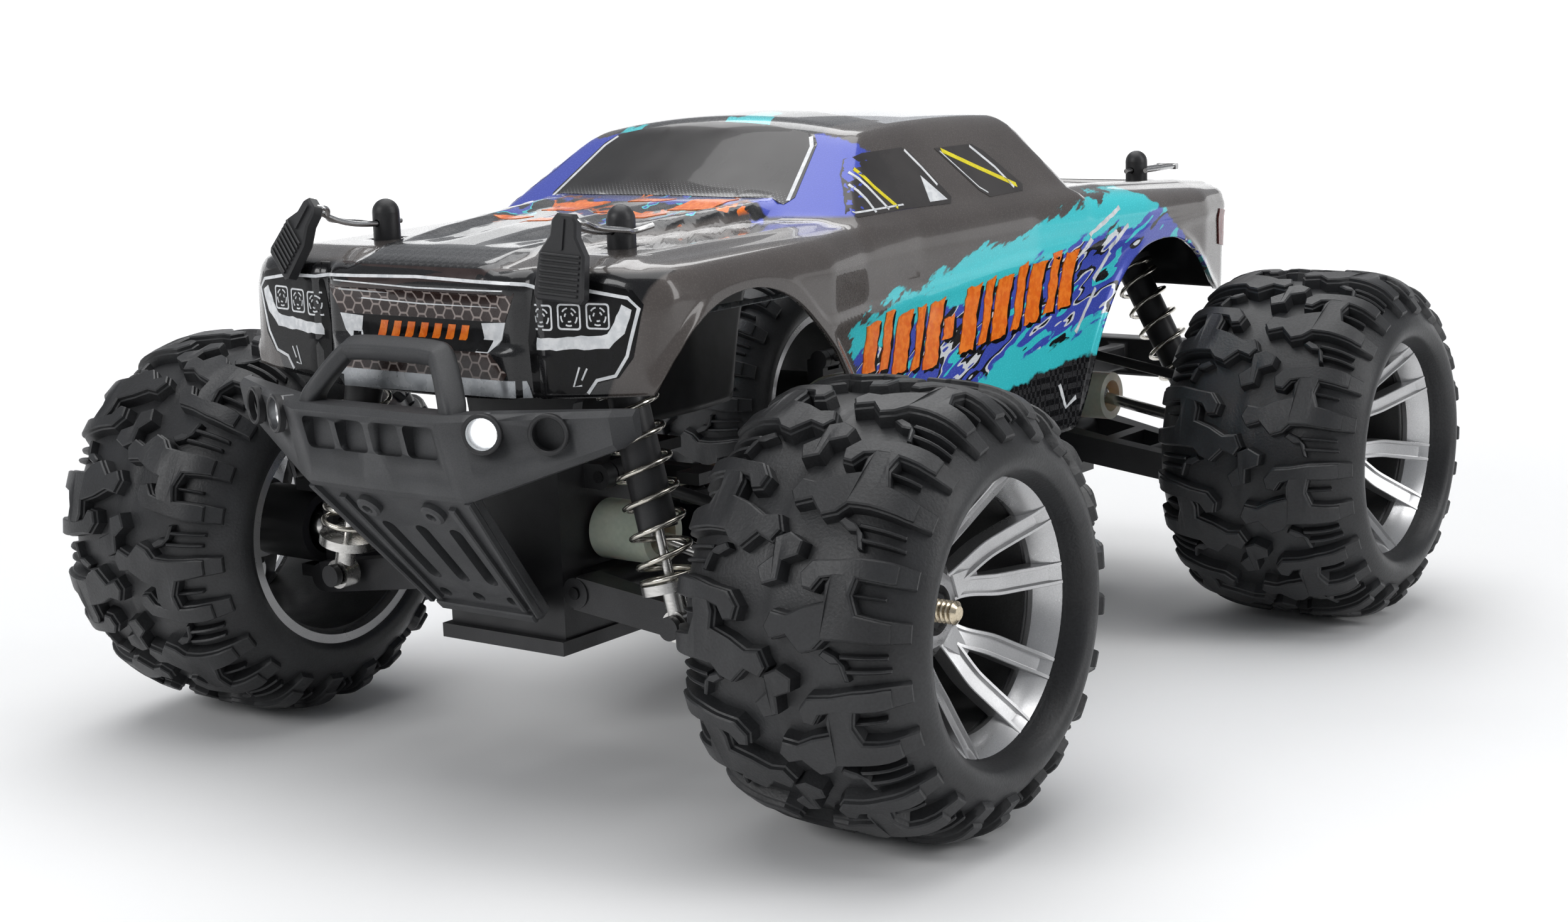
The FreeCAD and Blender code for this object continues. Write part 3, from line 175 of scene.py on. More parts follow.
class Solid:
    """Collects millimetre vertices and faces of one piece, with a placement for each shape."""

    def __init__(self):
        self.vertices, self.faces, self.marks = [], [], []

    def add(self, vertices, faces, place=None, mark=0):
        """Append a shape, moved by the placement; mark is the number of its material."""
        base = len(self.vertices)
        self.vertices += [place @ Vector(v) if place else Vector(v) for v in vertices]
        self.faces += [tuple(base + i for i in face) for face in faces]
        self.marks += [mark] * len(faces)

    def loft(self, rings, place=None, mark=0):
        """Skin equal closed rings of points one after another, with flat ends."""
        count = len(rings[0])
        faces = quads(len(rings), count)
        faces.append(tuple(reversed(range(count))))
        faces.append(tuple(range((len(rings) - 1) * count, len(rings) * count)))
        self.add([v for ring in rings for v in ring], faces, place, mark)

    def turned(self, profile, segments=48, place=None, mark=0):
        """Turn a closed (axial, radius) profile about X."""
        angles = [2 * math.pi * s / segments for s in range(segments)]
        vertices = [(u, r * math.cos(angle), r * math.sin(angle))
                    for angle in angles for u, r in profile]
        self.add(vertices, quads(segments, len(profile), True), place, mark)

    def tube(self, path, radius, sides=8):
        """A round bar along a path, with flat ends."""
        points = [Vector(p) for p in path]
        angles = [2 * math.pi * k / sides for k in range(sides)]
        side = heading(points, 0).orthogonal().normalized()
        rings = []
        for i, point in enumerate(points):
            tangent = heading(points, i)
            side = (side - tangent * side.dot(tangent)).normalized()
            other = tangent.cross(side)
            rings.append([point + (side * math.cos(a) + other * math.sin(a)) * radius
                          for a in angles])
        self.loft(rings)

    def slab(self, outline, low, high, place=None, mark=0, edge=0.0):
        """A flat plate with a chamfered edge, from an (x, y) outline."""
        inner = inset(outline, edge) if edge else outline
        levels = ((inner, low), (outline, low + edge), (outline, high - edge), (inner, high))
        rings = [[(x, y, z) for x, y in loop] for loop, z in levels]
        self.loft(rings if edge else rings[::3], place, mark)

    def piece(self, name, materials, crease=40):
        """Make one object of everything collected."""
        obj = mesh_piece(name, self.vertices, self.faces, materials, crease)
        for polygon, mark in zip(obj.data.polygons, self.marks):
            polygon.material_index = mark
        return obj


def inset(outline, distance):
    """The outline moved inwards by a distance, for small distances."""
    befores, afters = outline[-1:] + outline[:-1], outline[1:] + outline[:1]
    area = sum(x0 * y1 - x1 * y0 for (x0, y0), (x1, y1) in zip(outline, afters))
    sign = 1 if area > 0 else -1
    result = []
    for before, here, after in zip(befores, outline, afters):
        a = (Vector(here) - Vector(before)).normalized()
        b = (Vector(after) - Vector(here)).normalized()
        normal = Vector((-a.y - b.y, a.x + b.x))
        scale = max(0.5, normal.length_squared / 2)
        result.append(tuple(Vector(here) + normal * (sign * distance / scale)))
    return result


def rounded_box(size, radius):
    """Outline of a rectangle with rounded corners, centred."""
    width, height = size
    points = []
    for cx, cy, start in ((1, 1, 0), (-1, 1, 90), (-1, -1, 180), (1, -1, 270)):
        for step in range(4):
            angle = math.radians(start + 30 * step)
            points.append((cx * (width / 2 - radius) + radius * math.cos(angle),
                           cy * (height / 2 - radius) + radius * math.sin(angle)))
    return points


def frame_along(start, direction, up=(0, 0, 1)):
    """A placement at start whose Z runs along direction."""
    z = Vector(direction).normalized()
    x = Vector(up).cross(z)
    x = x.normalized() if x.length > 1e-6 else z.orthogonal().normalized()
    y = z.cross(x)
    return Matrix.Translation(start) @ Matrix((x, y, z)).transposed().to_4x4()


def settle(piece, body, slot, *nodes):
    """Ride and replace in one call; the slot is not used."""
    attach(piece, body)
    if nodes:
        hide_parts(*nodes)
    return piece


# ---------------------------------------------------------------- materials

class Finish:
    """A principled material and the nodes that vary it over the surface."""

    def __init__(self, name, **sockets):
        self.material = bpy.data.materials.new(name)
        self.material.use_nodes = True
        self.nodes = self.material.node_tree.nodes
        self.links = self.material.node_tree.links
        self.shader = self.nodes["Principled BSDF"]
        for key, value in sockets.items():
            self.shader.inputs[key.replace("_", " ")].default_value = value
        self.point = self.nodes.new("ShaderNodeTexCoord").outputs["Object"]

    def put(self, socket, value):
        """Link a socket, or set a constant on it."""
        if isinstance(value, bpy.types.NodeSocket):
            self.links.new(value, socket)
        elif value is not None:
            socket.default_value = value

    def math(self, operation, a, b=None, c=None):
        """One arithmetic node; each operand is a socket or a number."""
        node = self.nodes.new("ShaderNodeMath")
        node.operation = operation
        for socket, value in zip(node.inputs, (a, b, c)):
            self.put(socket, value)
        return node.outputs[0]

    def split(self, vector=None):
        """The three coordinates of a vector, the surface point by default."""
        node = self.nodes.new("ShaderNodeSeparateXYZ")
        self.put(node.inputs[0], vector or self.point)
        return node.outputs

    def stretch(self, scale, turn=(0, 0, 0)):
        """The surface point, turned and then scaled: (1, 1, 1) is one unit per millimetre."""
        node = self.nodes.new("ShaderNodeMapping")
        node.vector_type = "TEXTURE"
        self.put(node.inputs["Vector"], self.point)
        node.inputs["Rotation"].default_value = [math.radians(a) for a in turn]
        node.inputs["Scale"].default_value = [MM / s for s in scale]
        return node.outputs[0]

    def noise(self, size, detail=2.0, vector=None, rough=0.5):
        """Noise whose blobs are about size millimetres wide."""
        node = self.nodes.new("ShaderNodeTexNoise")
        self.put(node.inputs["Vector"], vector or self.point)
        node.inputs["Scale"].default_value = 1 / size if vector else 1 / (size * MM)
        node.inputs["Detail"].default_value = detail
        node.inputs["Roughness"].default_value = rough
        return node.outputs["Fac"]

    def ramp(self, value, stops, step=False):
        """Colour ramp through (place, colour) stops; step keeps each colour flat."""
        node = self.nodes.new("ShaderNodeValToRGB")
        self.put(node.inputs[0], value)
        ramp = node.color_ramp
        ramp.interpolation = "CONSTANT" if step else "LINEAR"
        while len(ramp.elements) < len(stops):
            ramp.elements.new(0.5)
        for element, (place, colour) in zip(ramp.elements, stops):
            element.position = place
            element.color = (*colour, 1) if len(colour) == 3 else colour
        return node.outputs[0]

    def grade(self, value, low, high, out_low, out_high):
        """Map a value's range to another one, clamped."""
        node = self.nodes.new("ShaderNodeMapRange")
        for socket, item in zip(node.inputs, (value, low, high, out_low, out_high)):
            self.put(socket, item)
        return node.outputs[0]

    def mix(self, factor, a, b):
        """Colour a where the factor is 0, colour b where it is 1."""
        node = self.nodes.new("ShaderNodeMix")
        node.data_type = "RGBA"
        self.put(node.inputs[0], factor)
        for socket, value in zip((node.inputs[6], node.inputs[7]), (a, b)):
            self.put(socket, (*value, 1) if isinstance(value, tuple) and len(value) == 3 else value)
        return node.outputs[2]

    def bump(self, height, strength, distance=0.05):
        """Fine relief on the surface, distance in millimetres."""
        node = self.nodes.new("ShaderNodeBump")
        node.inputs["Strength"].default_value = strength
        node.inputs["Distance"].default_value = distance * MM
        self.put(node.inputs["Height"], height)
        self.links.new(node.outputs[0], self.shader.inputs["Normal"])

    def colour(self, value):
        """Set or link the base colour."""
        self.put(self.shader.inputs["Base Color"], value)

    def roughness(self, value):
        """Set or link the roughness."""
        self.put(self.shader.inputs["Roughness"], value)


def grained(name, dark, light, grain, rough, relief, patch=9.0, turn=(0, 0, 0), stretch=(1, 1, 1),
            **sockets):
    """A moulded, cast or drawn surface: blotches of tone, a fine grain and uneven gloss."""
    finish = Finish(name, **sockets)
    patches = finish.noise(patch, 3.0)
    fine = finish.noise(grain, 2.0, finish.stretch(stretch, turn))
    blend = finish.math("MULTIPLY_ADD", fine, 0.45, finish.math("MULTIPLY", patches, 0.55))
    finish.colour(finish.ramp(blend, [(0.3, dark), (0.7, light)]))
    finish.roughness(finish.grade(blend, 0.3, 0.7, rough[1], rough[0]))
    finish.bump(fine, relief)
    return finish.material


def rubber():
    """Black tyre rubber: dusty high spots, matt, with a fine pebbled skin."""
    finish = Finish("tyre_rubber")
    cloud = finish.noise(14, 4.0)
    pebble = finish.noise(0.55, 3.0)
    tone = finish.math("MULTIPLY_ADD", pebble, 0.4, finish.math("MULTIPLY", cloud, 0.6))
    finish.colour(finish.ramp(tone, [(0.32, (0.010, 0.010, 0.011)), (0.68, (0.026, 0.027, 0.029))]))
    finish.roughness(finish.grade(tone, 0.3, 0.7, 0.52, 0.36))
    finish.bump(pebble, 0.5, 0.12)
    return finish.material


CYAN = (0.05, 0.66, 0.72)
BLUE = (0.055, 0.085, 0.50)
ORANGE = (0.95, 0.19, 0.010)
WHITE = (0.78, 0.80, 0.82)
BLACK = (0.008, 0.008, 0.009)


def carbon_weave(finish):
    """Two-tone squares of woven cloth, about a millimetre each."""
    node = finish.nodes.new("ShaderNodeTexChecker")
    finish.put(node.inputs["Vector"], finish.stretch((1, 1, 1), (0, 0, 45)))
    node.inputs["Scale"].default_value = 0.7
    node.inputs["Color1"].default_value = (0.006, 0.006, 0.007, 1)
    node.inputs["Color2"].default_value = (0.035, 0.035, 0.037, 1)
    return node.outputs[0]


def shell_paint():
    """Printed polycarbonate: bronze metallic under cyan, blue, white and black splashes."""
    finish = Finish("shell_paint", Coat_Weight=0.9, Coat_Roughness=0.015, Coat_IOR=1.38,
                    Specular_IOR_Level=0.3, Metallic=0.1)
    x, y, z = finish.split()
    width = finish.math("ABSOLUTE", finish.math("MULTIPLY", x, 1 / MM))
    length = finish.math("MULTIPLY", y, 1 / MM)
    height = finish.math("MULTIPLY", z, 1 / MM)
    ragged = finish.math("MULTIPLY_ADD", finish.noise(6, 5.0, rough=0.6), 22, -11)
    torn = finish.noise(1.0, 4.0, finish.stretch((0.2, 0.07, 0.3), (22, 0, 0)), 0.6)
    torn = finish.math("MULTIPLY_ADD", torn, 24, -12)
    streaks = finish.noise(1.0, 2.5, finish.stretch((0.12, 0.030, 0.15), (22, 0, 0)), 0.55)
    swirl = finish.noise(1.0, 3.0, finish.stretch((0.085, 0.040, 0.08), (0, 0, 20)), 0.55)
    flake = finish.noise(0.35, 1.0)
    cloud = finish.noise(30, 2.0)
    weave = carbon_weave(finish)

    def over(value, limit, softness=0.35):
        """1 where the value is above the limit, with a narrow border."""
        gap = finish.math("SUBTRACT", value, limit)
        return finish.grade(gap, -softness, softness, 0.0, 1.0)

    def line(slope_y, slope_z, offset, rough=1.0, wobble=ragged):
        """1 on one side of a slanted line on the flank, with a ragged edge."""
        value = finish.math("MULTIPLY_ADD", length, slope_y,
                            finish.math("MULTIPLY", height, slope_z))
        return over(finish.math("ADD", finish.math("MULTIPLY_ADD", wobble, rough, offset), value),
                    0.0)

    def both(*masks):
        """1 where every mask is 1."""
        result = masks[0]
        for mask in masks[1:]:
            result = finish.math("MULTIPLY", result, mask)
        return result

    mottle = finish.math("MULTIPLY_ADD", flake, 0.25, finish.math("MULTIPLY", cloud, 0.75))
    base = finish.ramp(mottle, [(0.3, (0.062, 0.053, 0.049)), (0.7, (0.105, 0.092, 0.085))])
    # flank print: a cyan splash, with blue, white and black strokes across its middle
    top = both(line(0.16, -1.0, 102.0, 0.62, torn), line(-0.62, -1.0, 151.0, 0.3, torn))
    inside = both(over(width, 48.5), over(111.5, height), top, line(1.0, 0.28, 37.5, 0.55, torn))
    strokes = finish.ramp(streaks, [(0.0, BLACK), (0.36, CYAN), (0.405, BLUE), (0.515, BLACK),
                                    (0.54, WHITE), (0.56, BLUE), (0.63, CYAN), (0.68, BLACK)],
                                    step=True)
    colour = finish.mix(line(-0.155, 1.0, -93.8, 0.6, torn), strokes, CYAN)
    lower = both(line(0.10, -1.0, 75.0, 0.7, torn), line(1.0, 0.0, 6.0, 0.8))
    colour = finish.mix(lower, colour, CYAN)
    skirt = both(line(0.12, -1.0, 67.0, 0.25), line(1.0, 0.0, -4.0, 0.6))
    colour = finish.mix(skirt, colour, weave)
    fade = finish.grade(length, 90, 106, 1.0, 0.0)
    base = finish.mix(both(inside, fade), base, colour)
    # bonnet print: dark cloth in the middle, with strokes that thicken towards the windscreen
    edge_x = finish.math("MULTIPLY_ADD", length, 0.17, 40.8)
    bonnet = both(over(edge_x, width), over(-50.0, length), over(height, 109.2))
    marks = finish.ramp(swirl, [(0.0, BLACK), (0.38, BLUE), (0.42, CYAN), (0.435, BLACK),
                                (0.56, ORANGE), (0.60, BLACK), (0.635, BLUE), (0.68, CYAN)],
                                step=True)
    near = line(-1.0, 0.0, -84.0, 1.1)
    base = finish.mix(bonnet, base, finish.mix(near, marks, weave))
    cowl = both(line(1.0, 0.0, 61.5, 0.5), over(-48.0, length), over(116.9, height),
                over(37.5, width))
    base = finish.mix(cowl, base, finish.mix(over(swirl, 0.56, 0.01), BLUE, BLACK))
    # cab: blue pillars, dark front band and pale roof
    pillar = both(over(height, 113.4), line(-1.0, -0.55, 38.0, 0.42, torn),
                  line(1.0, 0.0, 57.5, 0.1), over(width, 27.5))
    base = finish.mix(pillar, base, BLUE)
    roof = over(height, 129.6)
    pale = finish.ramp(cloud, [(0.3, (0.46, 0.47, 0.49)), (0.7, (0.66, 0.67, 0.69))])
    base = finish.mix(both(roof, line(1.0, 0.0, 14.0, 0.5), over(34.5, width)), base, pale)
    band = both(roof, line(-1.0, 0.0, -15.5, 0.5), over(29.5, width))
    base = finish.mix(band, base, finish.mix(over(swirl, 0.575, 0.01), weave, CYAN))
    # nose: gloss black below the bonnet line, bronze wings kept outside the lamps
    nose_x = finish.math("MULTIPLY_ADD", height, 0.42, 8.5)
    nose = both(over(-116.5, length), over(109.4, height), over(nose_x, width))
    finish.colour(finish.mix(nose, base, BLACK))
    finish.roughness(finish.grade(flake, 0.3, 0.7, 0.20, 0.30))
    return finish.material


def lining():
    """Inside of the shell: nearly black, with the flank's bars and splash seen through it."""
    finish = Finish("shell_lining", Roughness=0.4)
    _, y, z = finish.split()
    length = finish.math("MULTIPLY", y, 1 / MM)
    height = finish.math("MULTIPLY", z, 1 / MM)
    wobble = finish.math("MULTIPLY_ADD", finish.noise(4, 4.0), 8, -4)

    def band(value, centre, inner, outer):
        """1 within a distance of the centre, with a soft edge from inner to outer."""
        away = finish.math("ABSOLUTE", finish.math("SUBTRACT", value, centre))
        return finish.grade(away, inner, outer, 1.0, 0.0)

    lean = finish.math("MULTIPLY_ADD", height, -0.22, finish.math("ADD", length, wobble))
    bars = finish.math("FRACT", finish.math("MULTIPLY", lean, 0.105))
    bars = finish.grade(bars, 0.36, 0.40, 0.0, 1.0)
    mid = finish.math("MULTIPLY_ADD", length, -0.1, finish.math("ADD", height, wobble))
    doors = band(length, 0.0, 58, 60)
    dark = finish.ramp(finish.noise(5, 3.0), [(0.35, (0.006, 0.006, 0.007)),
                                              (0.65, (0.016, 0.016, 0.018))])
    splash = finish.math("MULTIPLY", band(mid, 99.0, 3.6, 4.2), doors)
    tone = finish.mix(splash, dark, (0.01, 0.20, 0.24))
    orange = finish.math("MULTIPLY", finish.math("MULTIPLY", bars, band(mid, 88.0, 5.5, 6.0)),
                         doors)
    finish.colour(finish.mix(orange, tone, (0.62, 0.055, 0.008)))
    return finish.material


def gloss_print(name, dark, light, size=2.0, **sockets):
    """A printed film with slight mottling under its gloss."""
    finish = Finish(name, Coat_Weight=0.4, Coat_Roughness=0.04, Coat_IOR=1.35, **sockets)
    mottle = finish.noise(size, 3.0)
    finish.colour(finish.ramp(mottle, [(0.35, dark), (0.65, light)]))
    finish.roughness(finish.grade(mottle, 0.3, 0.7, 0.22, 0.32))
    return finish.material


def lamp_glow():
    """Bright white lamp lens with a softer rim."""
    finish = Finish("lamp_lens", Emission_Color=(0.93, 0.97, 1.0, 1), Roughness=0.2)
    speck = finish.noise(0.8, 2.0)
    finish.colour(finish.ramp(speck, [(0.4, (0.85, 0.9, 0.95)), (0.6, (1, 1, 1))]))
    finish.put(finish.shader.inputs["Emission Strength"], finish.grade(speck, 0.35, 0.6, 5.0, 9.0))
    return finish.material


def hexagon_mesh():
    """Grille netting: brown-black with pale hexagon wires, drawn from two shifted lattices."""
    finish = Finish("grille_mesh", Coat_Weight=0.3, Coat_Roughness=0.05, Specular_IOR_Level=0.3)
    x, _, z = finish.split()
    pitch_x, pitch_z = 5.0 * MM, 2.9 * MM
    ratio, half_ratio = 1.732, 0.866

    def cell(shift):
        """How far out a point lies in its hexagon of one lattice, 0.5 at the border."""
        across = finish.math("MULTIPLY_ADD", x, 1 / pitch_x, shift)
        up = finish.math("MULTIPLY_ADD", z, 1 / pitch_z, shift)
        across = finish.math("SUBTRACT", finish.math("FRACT", across), 0.5)
        up = finish.math("SUBTRACT", finish.math("FRACT", up), 0.5)
        across = finish.math("ABSOLUTE", finish.math("MULTIPLY", across, ratio))
        up = finish.math("ABSOLUTE", up)
        slant = finish.math("MULTIPLY_ADD", across, half_ratio, finish.math("MULTIPLY", up, 0.5))
        return finish.math("MAXIMUM", slant, up)

    nearest = finish.math("MINIMUM", cell(0.0), cell(0.5))
    wire = finish.grade(nearest, 0.41, 0.46, 0.0, 1.0)
    finish.colour(finish.mix(wire, (0.028, 0.016, 0.014), (0.32, 0.27, 0.25)))
    finish.roughness(finish.grade(finish.noise(1.5), 0.3, 0.7, 0.2, 0.35))
    return finish.material


def screen_glass():
    """Dark windscreen with rows of pale dots that fade out above its lower edge."""
    finish = Finish("screen_glass", Coat_Weight=0.4, Coat_Roughness=0.03, Coat_IOR=1.4,
                    Specular_IOR_Level=0.3)
    cells = finish.split(finish.stretch((1.35, 1.35, 1.35), (0, 0, 45)))
    across, up = (finish.math("SUBTRACT", finish.math("FRACT", cells[i]), 0.5) for i in (0, 1))
    reach = finish.math("MULTIPLY_ADD", across, across, finish.math("MULTIPLY", up, up))
    reach = finish.math("SQRT", reach)
    size = finish.grade(finish.split()[1], -54 * MM, -48.5 * MM, 0.36, 0.0)
    dots = finish.grade(finish.math("SUBTRACT", size, reach), -0.03, 0.03, 0.0, 1.0)
    tone = finish.ramp(finish.noise(40, 2.0), [(0.3, (0.020, 0.019, 0.019)),
                                               (0.7, (0.040, 0.037, 0.036))])
    finish.colour(finish.mix(dots, tone, (0.20, 0.20, 0.205)))
    finish.roughness(finish.grade(finish.noise(8), 0.3, 0.7, 0.18, 0.28))
    return finish.material


M = {
    "rubber": rubber(),
    "silver": grained("rim_silver", (0.42, 0.42, 0.425), (0.60, 0.60, 0.605), 0.25, (0.24, 0.38),
                      0.12, Metallic=0.85, Coat_Weight=0.3),
    # dark rim material: the grooves at the lip and the bolt holes, and painted shade on the liner
    # inside the barrel
    "groove_and_shade": grained("rim_groove_and_painted_shade", (0.02, 0.02, 0.02), (0.05, 0.05, 0.05), 0.3, (0.4, 0.6), 0.1),
    "black": grained("black_plastic", (0.010, 0.010, 0.011), (0.024, 0.024, 0.026), 0.22,
                     (0.34, 0.52), 0.35),
    "grey": grained("grey_plastic", (0.030, 0.031, 0.033), (0.052, 0.053, 0.056), 0.3, (0.40, 0.58),
                    0.45),
    "steel": grained("bright_steel", (0.50, 0.49, 0.47), (0.72, 0.71, 0.69), 0.5, (0.16, 0.32), 0.1,
                     stretch=(0.2, 1, 1), Metallic=1.0),
    "black_steel": grained("black_steel", (0.02, 0.02, 0.021), (0.05, 0.05, 0.052), 0.3,
                           (0.28, 0.45), 0.15, Metallic=0.8),
    "nickel": grained("spring_wire", (0.52, 0.49, 0.43), (0.78, 0.75, 0.68), 0.4, (0.14, 0.28),
                      0.08, Metallic=1.0),
    "brass": grained("axle_brass", (0.50, 0.42, 0.30), (0.72, 0.63, 0.48), 0.4, (0.18, 0.34), 0.1,
                     Metallic=1.0),
    "wire": grained("clip_wire", (0.45, 0.45, 0.45), (0.70, 0.70, 0.70), 0.4, (0.16, 0.32), 0.08,
                    Metallic=1.0),
    "nylon": grained("nylon", (0.44, 0.47, 0.38), (0.58, 0.60, 0.50), 1.2, (0.38, 0.52), 0.2,
                     Subsurface_Weight=0.15),
    "can": grained("motor_can", (0.30, 0.30, 0.31), (0.46, 0.46, 0.47), 0.35, (0.25, 0.4), 0.12,
                   stretch=(1, 0.1, 1), Metallic=0.95),
    "wrap": grained("battery_wrap", (0.02, 0.05, 0.16), (0.03, 0.08, 0.24), 3.0, (0.2, 0.34), 0.2,
                    patch=12),
    "blue": grained("blue_plastic", (0.02, 0.08, 0.30), (0.03, 0.11, 0.40), 0.5, (0.3, 0.45), 0.2),
    "paint": shell_paint(),
    "lining": lining(),
    "lamp": lamp_glow(),
    "hexagons": hexagon_mesh(),
    "glass": gloss_print("tinted_glass", (0.040, 0.036, 0.035), (0.060, 0.054, 0.052), 12.0,
                         Metallic=0.3),
    "gloss_black": gloss_print("gloss_black", (0.0025, 0.0025, 0.0025), (0.005, 0.005, 0.006),
                               Specular_IOR_Level=0.1),
    "brown": gloss_print("grille_brown", (0.022, 0.011, 0.010), (0.034, 0.018, 0.016), 6.0),
    "white": gloss_print("white_print", (0.62, 0.64, 0.66), (0.82, 0.83, 0.84)),
    "chrome_print": gloss_print("silver_print", (0.36, 0.38, 0.40), (0.58, 0.60, 0.62), 3.0,
                                Metallic=0.6),
    "orange": gloss_print("orange_print", (0.84, 0.14, 0.006), (1.0, 0.24, 0.012), 1.5),
    "yellow": gloss_print("yellow_print", (0.75, 0.62, 0.01), (0.85, 0.75, 0.02)),
    "red": gloss_print("tail_red", (0.10, 0.004, 0.004), (0.17, 0.008, 0.006)),
    "screen": screen_glass(),
}


# ---------------------------------------------------------------- stage, lights and camera

def stage():
    """Pale floor that glows a little far away, a dim even sky and plain colour handling."""
    floor = Finish("studio_floor", Emission_Color=(1, 1, 1, 1))
    floor.colour(floor.ramp(floor.noise(900, 2.0), [(0.3, (0.88, 0.88, 0.88)),
                                                    (0.7, (0.92, 0.92, 0.92))]))
    floor.roughness(floor.grade(floor.noise(300), 0.3, 0.7, 0.6, 0.7))
    x, y, _ = floor.split()
    depth = floor.math("MULTIPLY_ADD", x, AWAY.x, floor.math("MULTIPLY", y, AWAY.y))
    floor.put(floor.shader.inputs["Emission Strength"], floor.grade(depth, 0.25, 1.5, 0.0, 0.62))
    backdrop(floor.material)
    world = bpy.data.worlds.new("studio")
    bpy.context.scene.world = world
    world.use_nodes = True
    background = world.node_tree.nodes["Background"]
    background.inputs["Color"].default_value = (0.92, 0.95, 1, 1)
    background.inputs["Strength"].default_value = 0.30
    bpy.context.scene.view_settings.view_transform = "Standard"


def backdrop(material):
    """Floor that sweeps up into a low wall behind the truck."""
    reach, sweep, wall, depth = 1900, 500, 720, 30
    turns = [math.radians(a) for a in range(6, 91, 6)]
    profile = [(-9000, 0), (reach, 0)]
    profile += [(reach + sweep * math.sin(a), sweep - sweep * math.cos(a)) for a in turns]
    profile += [(reach + sweep, wall)]
    across = Vector((-AWAY.y, AWAY.x, 0))
    rings = []
    for side in (-9000, 9000):
        front = [AWAY * u + across * side + Vector((0, 0, z)) for u, z in profile]
        back = [AWAY * (u + depth) + across * side + Vector((0, 0, z - depth))
                for u, z in reversed(profile)]
        rings.append(front + back)
    solid = Solid()
    solid.loft(rings)
    return solid.piece("studio_floor", material)


def area_light(name, place, target, size, power):
    """A soft rectangular lamp aimed at a point; metres and watts."""
    data = bpy.data.lights.new(name, "AREA")
    data.shape = "RECTANGLE"
    data.size, data.size_y = size
    data.energy = power
    lamp = bpy.data.objects.new(name, data)
    lamp.location = place
    lamp.rotation_euler = (Vector(target) - Vector(place)).to_track_quat("-Z", "Y").to_euler()
    bpy.context.scene.collection.objects.link(lamp)


def camera():
    """Camera at the photograph's angle, as fitted to its wheels and body."""
    data = bpy.data.cameras.new("camera")
    data.lens = 54.72
    data.sensor_width = 36
    data.clip_start = 0.02
    view = bpy.data.objects.new("camera", data)
    right = Vector((0.8086, 0.5874, -0.0343))
    up = Vector((-0.0815, 0.1694, 0.9822))
    back = Vector((0.5827, -0.7914, 0.1849))
    turn = Matrix((right, up, back)).transposed().to_4x4()
    view.matrix_world = Matrix.Translation(Vector((334.7, -465.1, 156.1)) * MM) @ turn
    bpy.context.scene.collection.objects.link(view)
    bpy.context.scene.camera = view


stage()
area_light("overhead", (-0.1, 0.1, 1.5), (0, 0, 0.06), (1.6, 1.6), 17)
area_light("side", (1.25, 0.3, 0.75), (0, 0, 0.06), (0.4, 1.3), 7)
area_light("front", (-0.45, -1.35, 0.8), (0, 0, 0.06), (0.9, 0.5), 7)
area_light("back", (-0.9, 1.2, 1.5), (0, 0, 0.08), (1.2, 0.5), 6)
camera()


# ---------------------------------------------------------------- tyres

TREAD_RADIUS = 44
LUG_HEIGHT, LEDGE_HEIGHT = 3.4, 2.45
HALF_SHIFT = 7.6
TYRE_TOP = 43.95
OUTER_WALL = [(0, 40.6), (8, 40.5), (14, 40.0), (18.5, 38.6), (22.3, 36.0), (25.2, 33.0),
              (26.4, 30.4), (25.6, 28.2), (23.4, 27.2), (21.4, 26.7)]
INNER_WALL = [(0, 40.6), (8, 40.5), (14, 40.0), (18.5, 38.7), (22.5, 36.2), (25.6, 33.0),
              (27.0, 30.2), (27.1, 28.2), (26.4, 26.8)]


class Wall:
    """Half of the tyre's section, as points and normals by distance from the crown."""

    def __init__(self, points, side):
        self.side = side
        self.line = [Vector(p) for p in curve_points(points, 8)]
        self.reach = [0.0]
        for a, b in zip(self.line, self.line[1:]):
            self.reach.append(self.reach[-1] + (b - a).length)

    def at(self, distance, height):
        """Axial and radial place at a distance along the section and a height above it."""
        distance = clamp(distance, 0.0, self.reach[-1] - 0.01)
        i = next(k for k in range(len(self.reach) - 1) if self.reach[k + 1] >= distance)
        step = (distance - self.reach[i]) / (self.reach[i + 1] - self.reach[i])
        point = self.line[i].lerp(self.line[i + 1], step)
        ahead = (self.line[min(i + 2, len(self.line) - 1)] - self.line[max(i - 1, 0)]).normalized()
        place = point + Vector((-ahead.y, ahead.x)) * height
        return self.side * min(place.x, TYRE_SIDE), min(place.y, TYRE_TOP)


WALLS = {1: Wall(OUTER_WALL, 1), -1: Wall(INNER_WALL, -1)}


def tread_point(a, s, height):
    """Wheel-frame point for a place on the unrolled tread: a round the tyre, s across it."""
    u, r = WALLS[1 if s >= 0 else -1].at(abs(s), height)
    angle = a / TREAD_RADIUS
    return Vector((u, r * math.cos(angle), r * math.sin(angle)))


def dense(outline, gap=1.6):
    """The outline with extra points so that it wraps round the tyre."""
    result = []
    for a, b in zip(outline, outline[1:] + outline[:1]):
        length = math.dist(a, b)
        steps = max(1, round(length / gap))
        result += [tuple(lerp(p, q, k / steps) for p, q in zip(a, b)) for k in range(steps)]
    return result


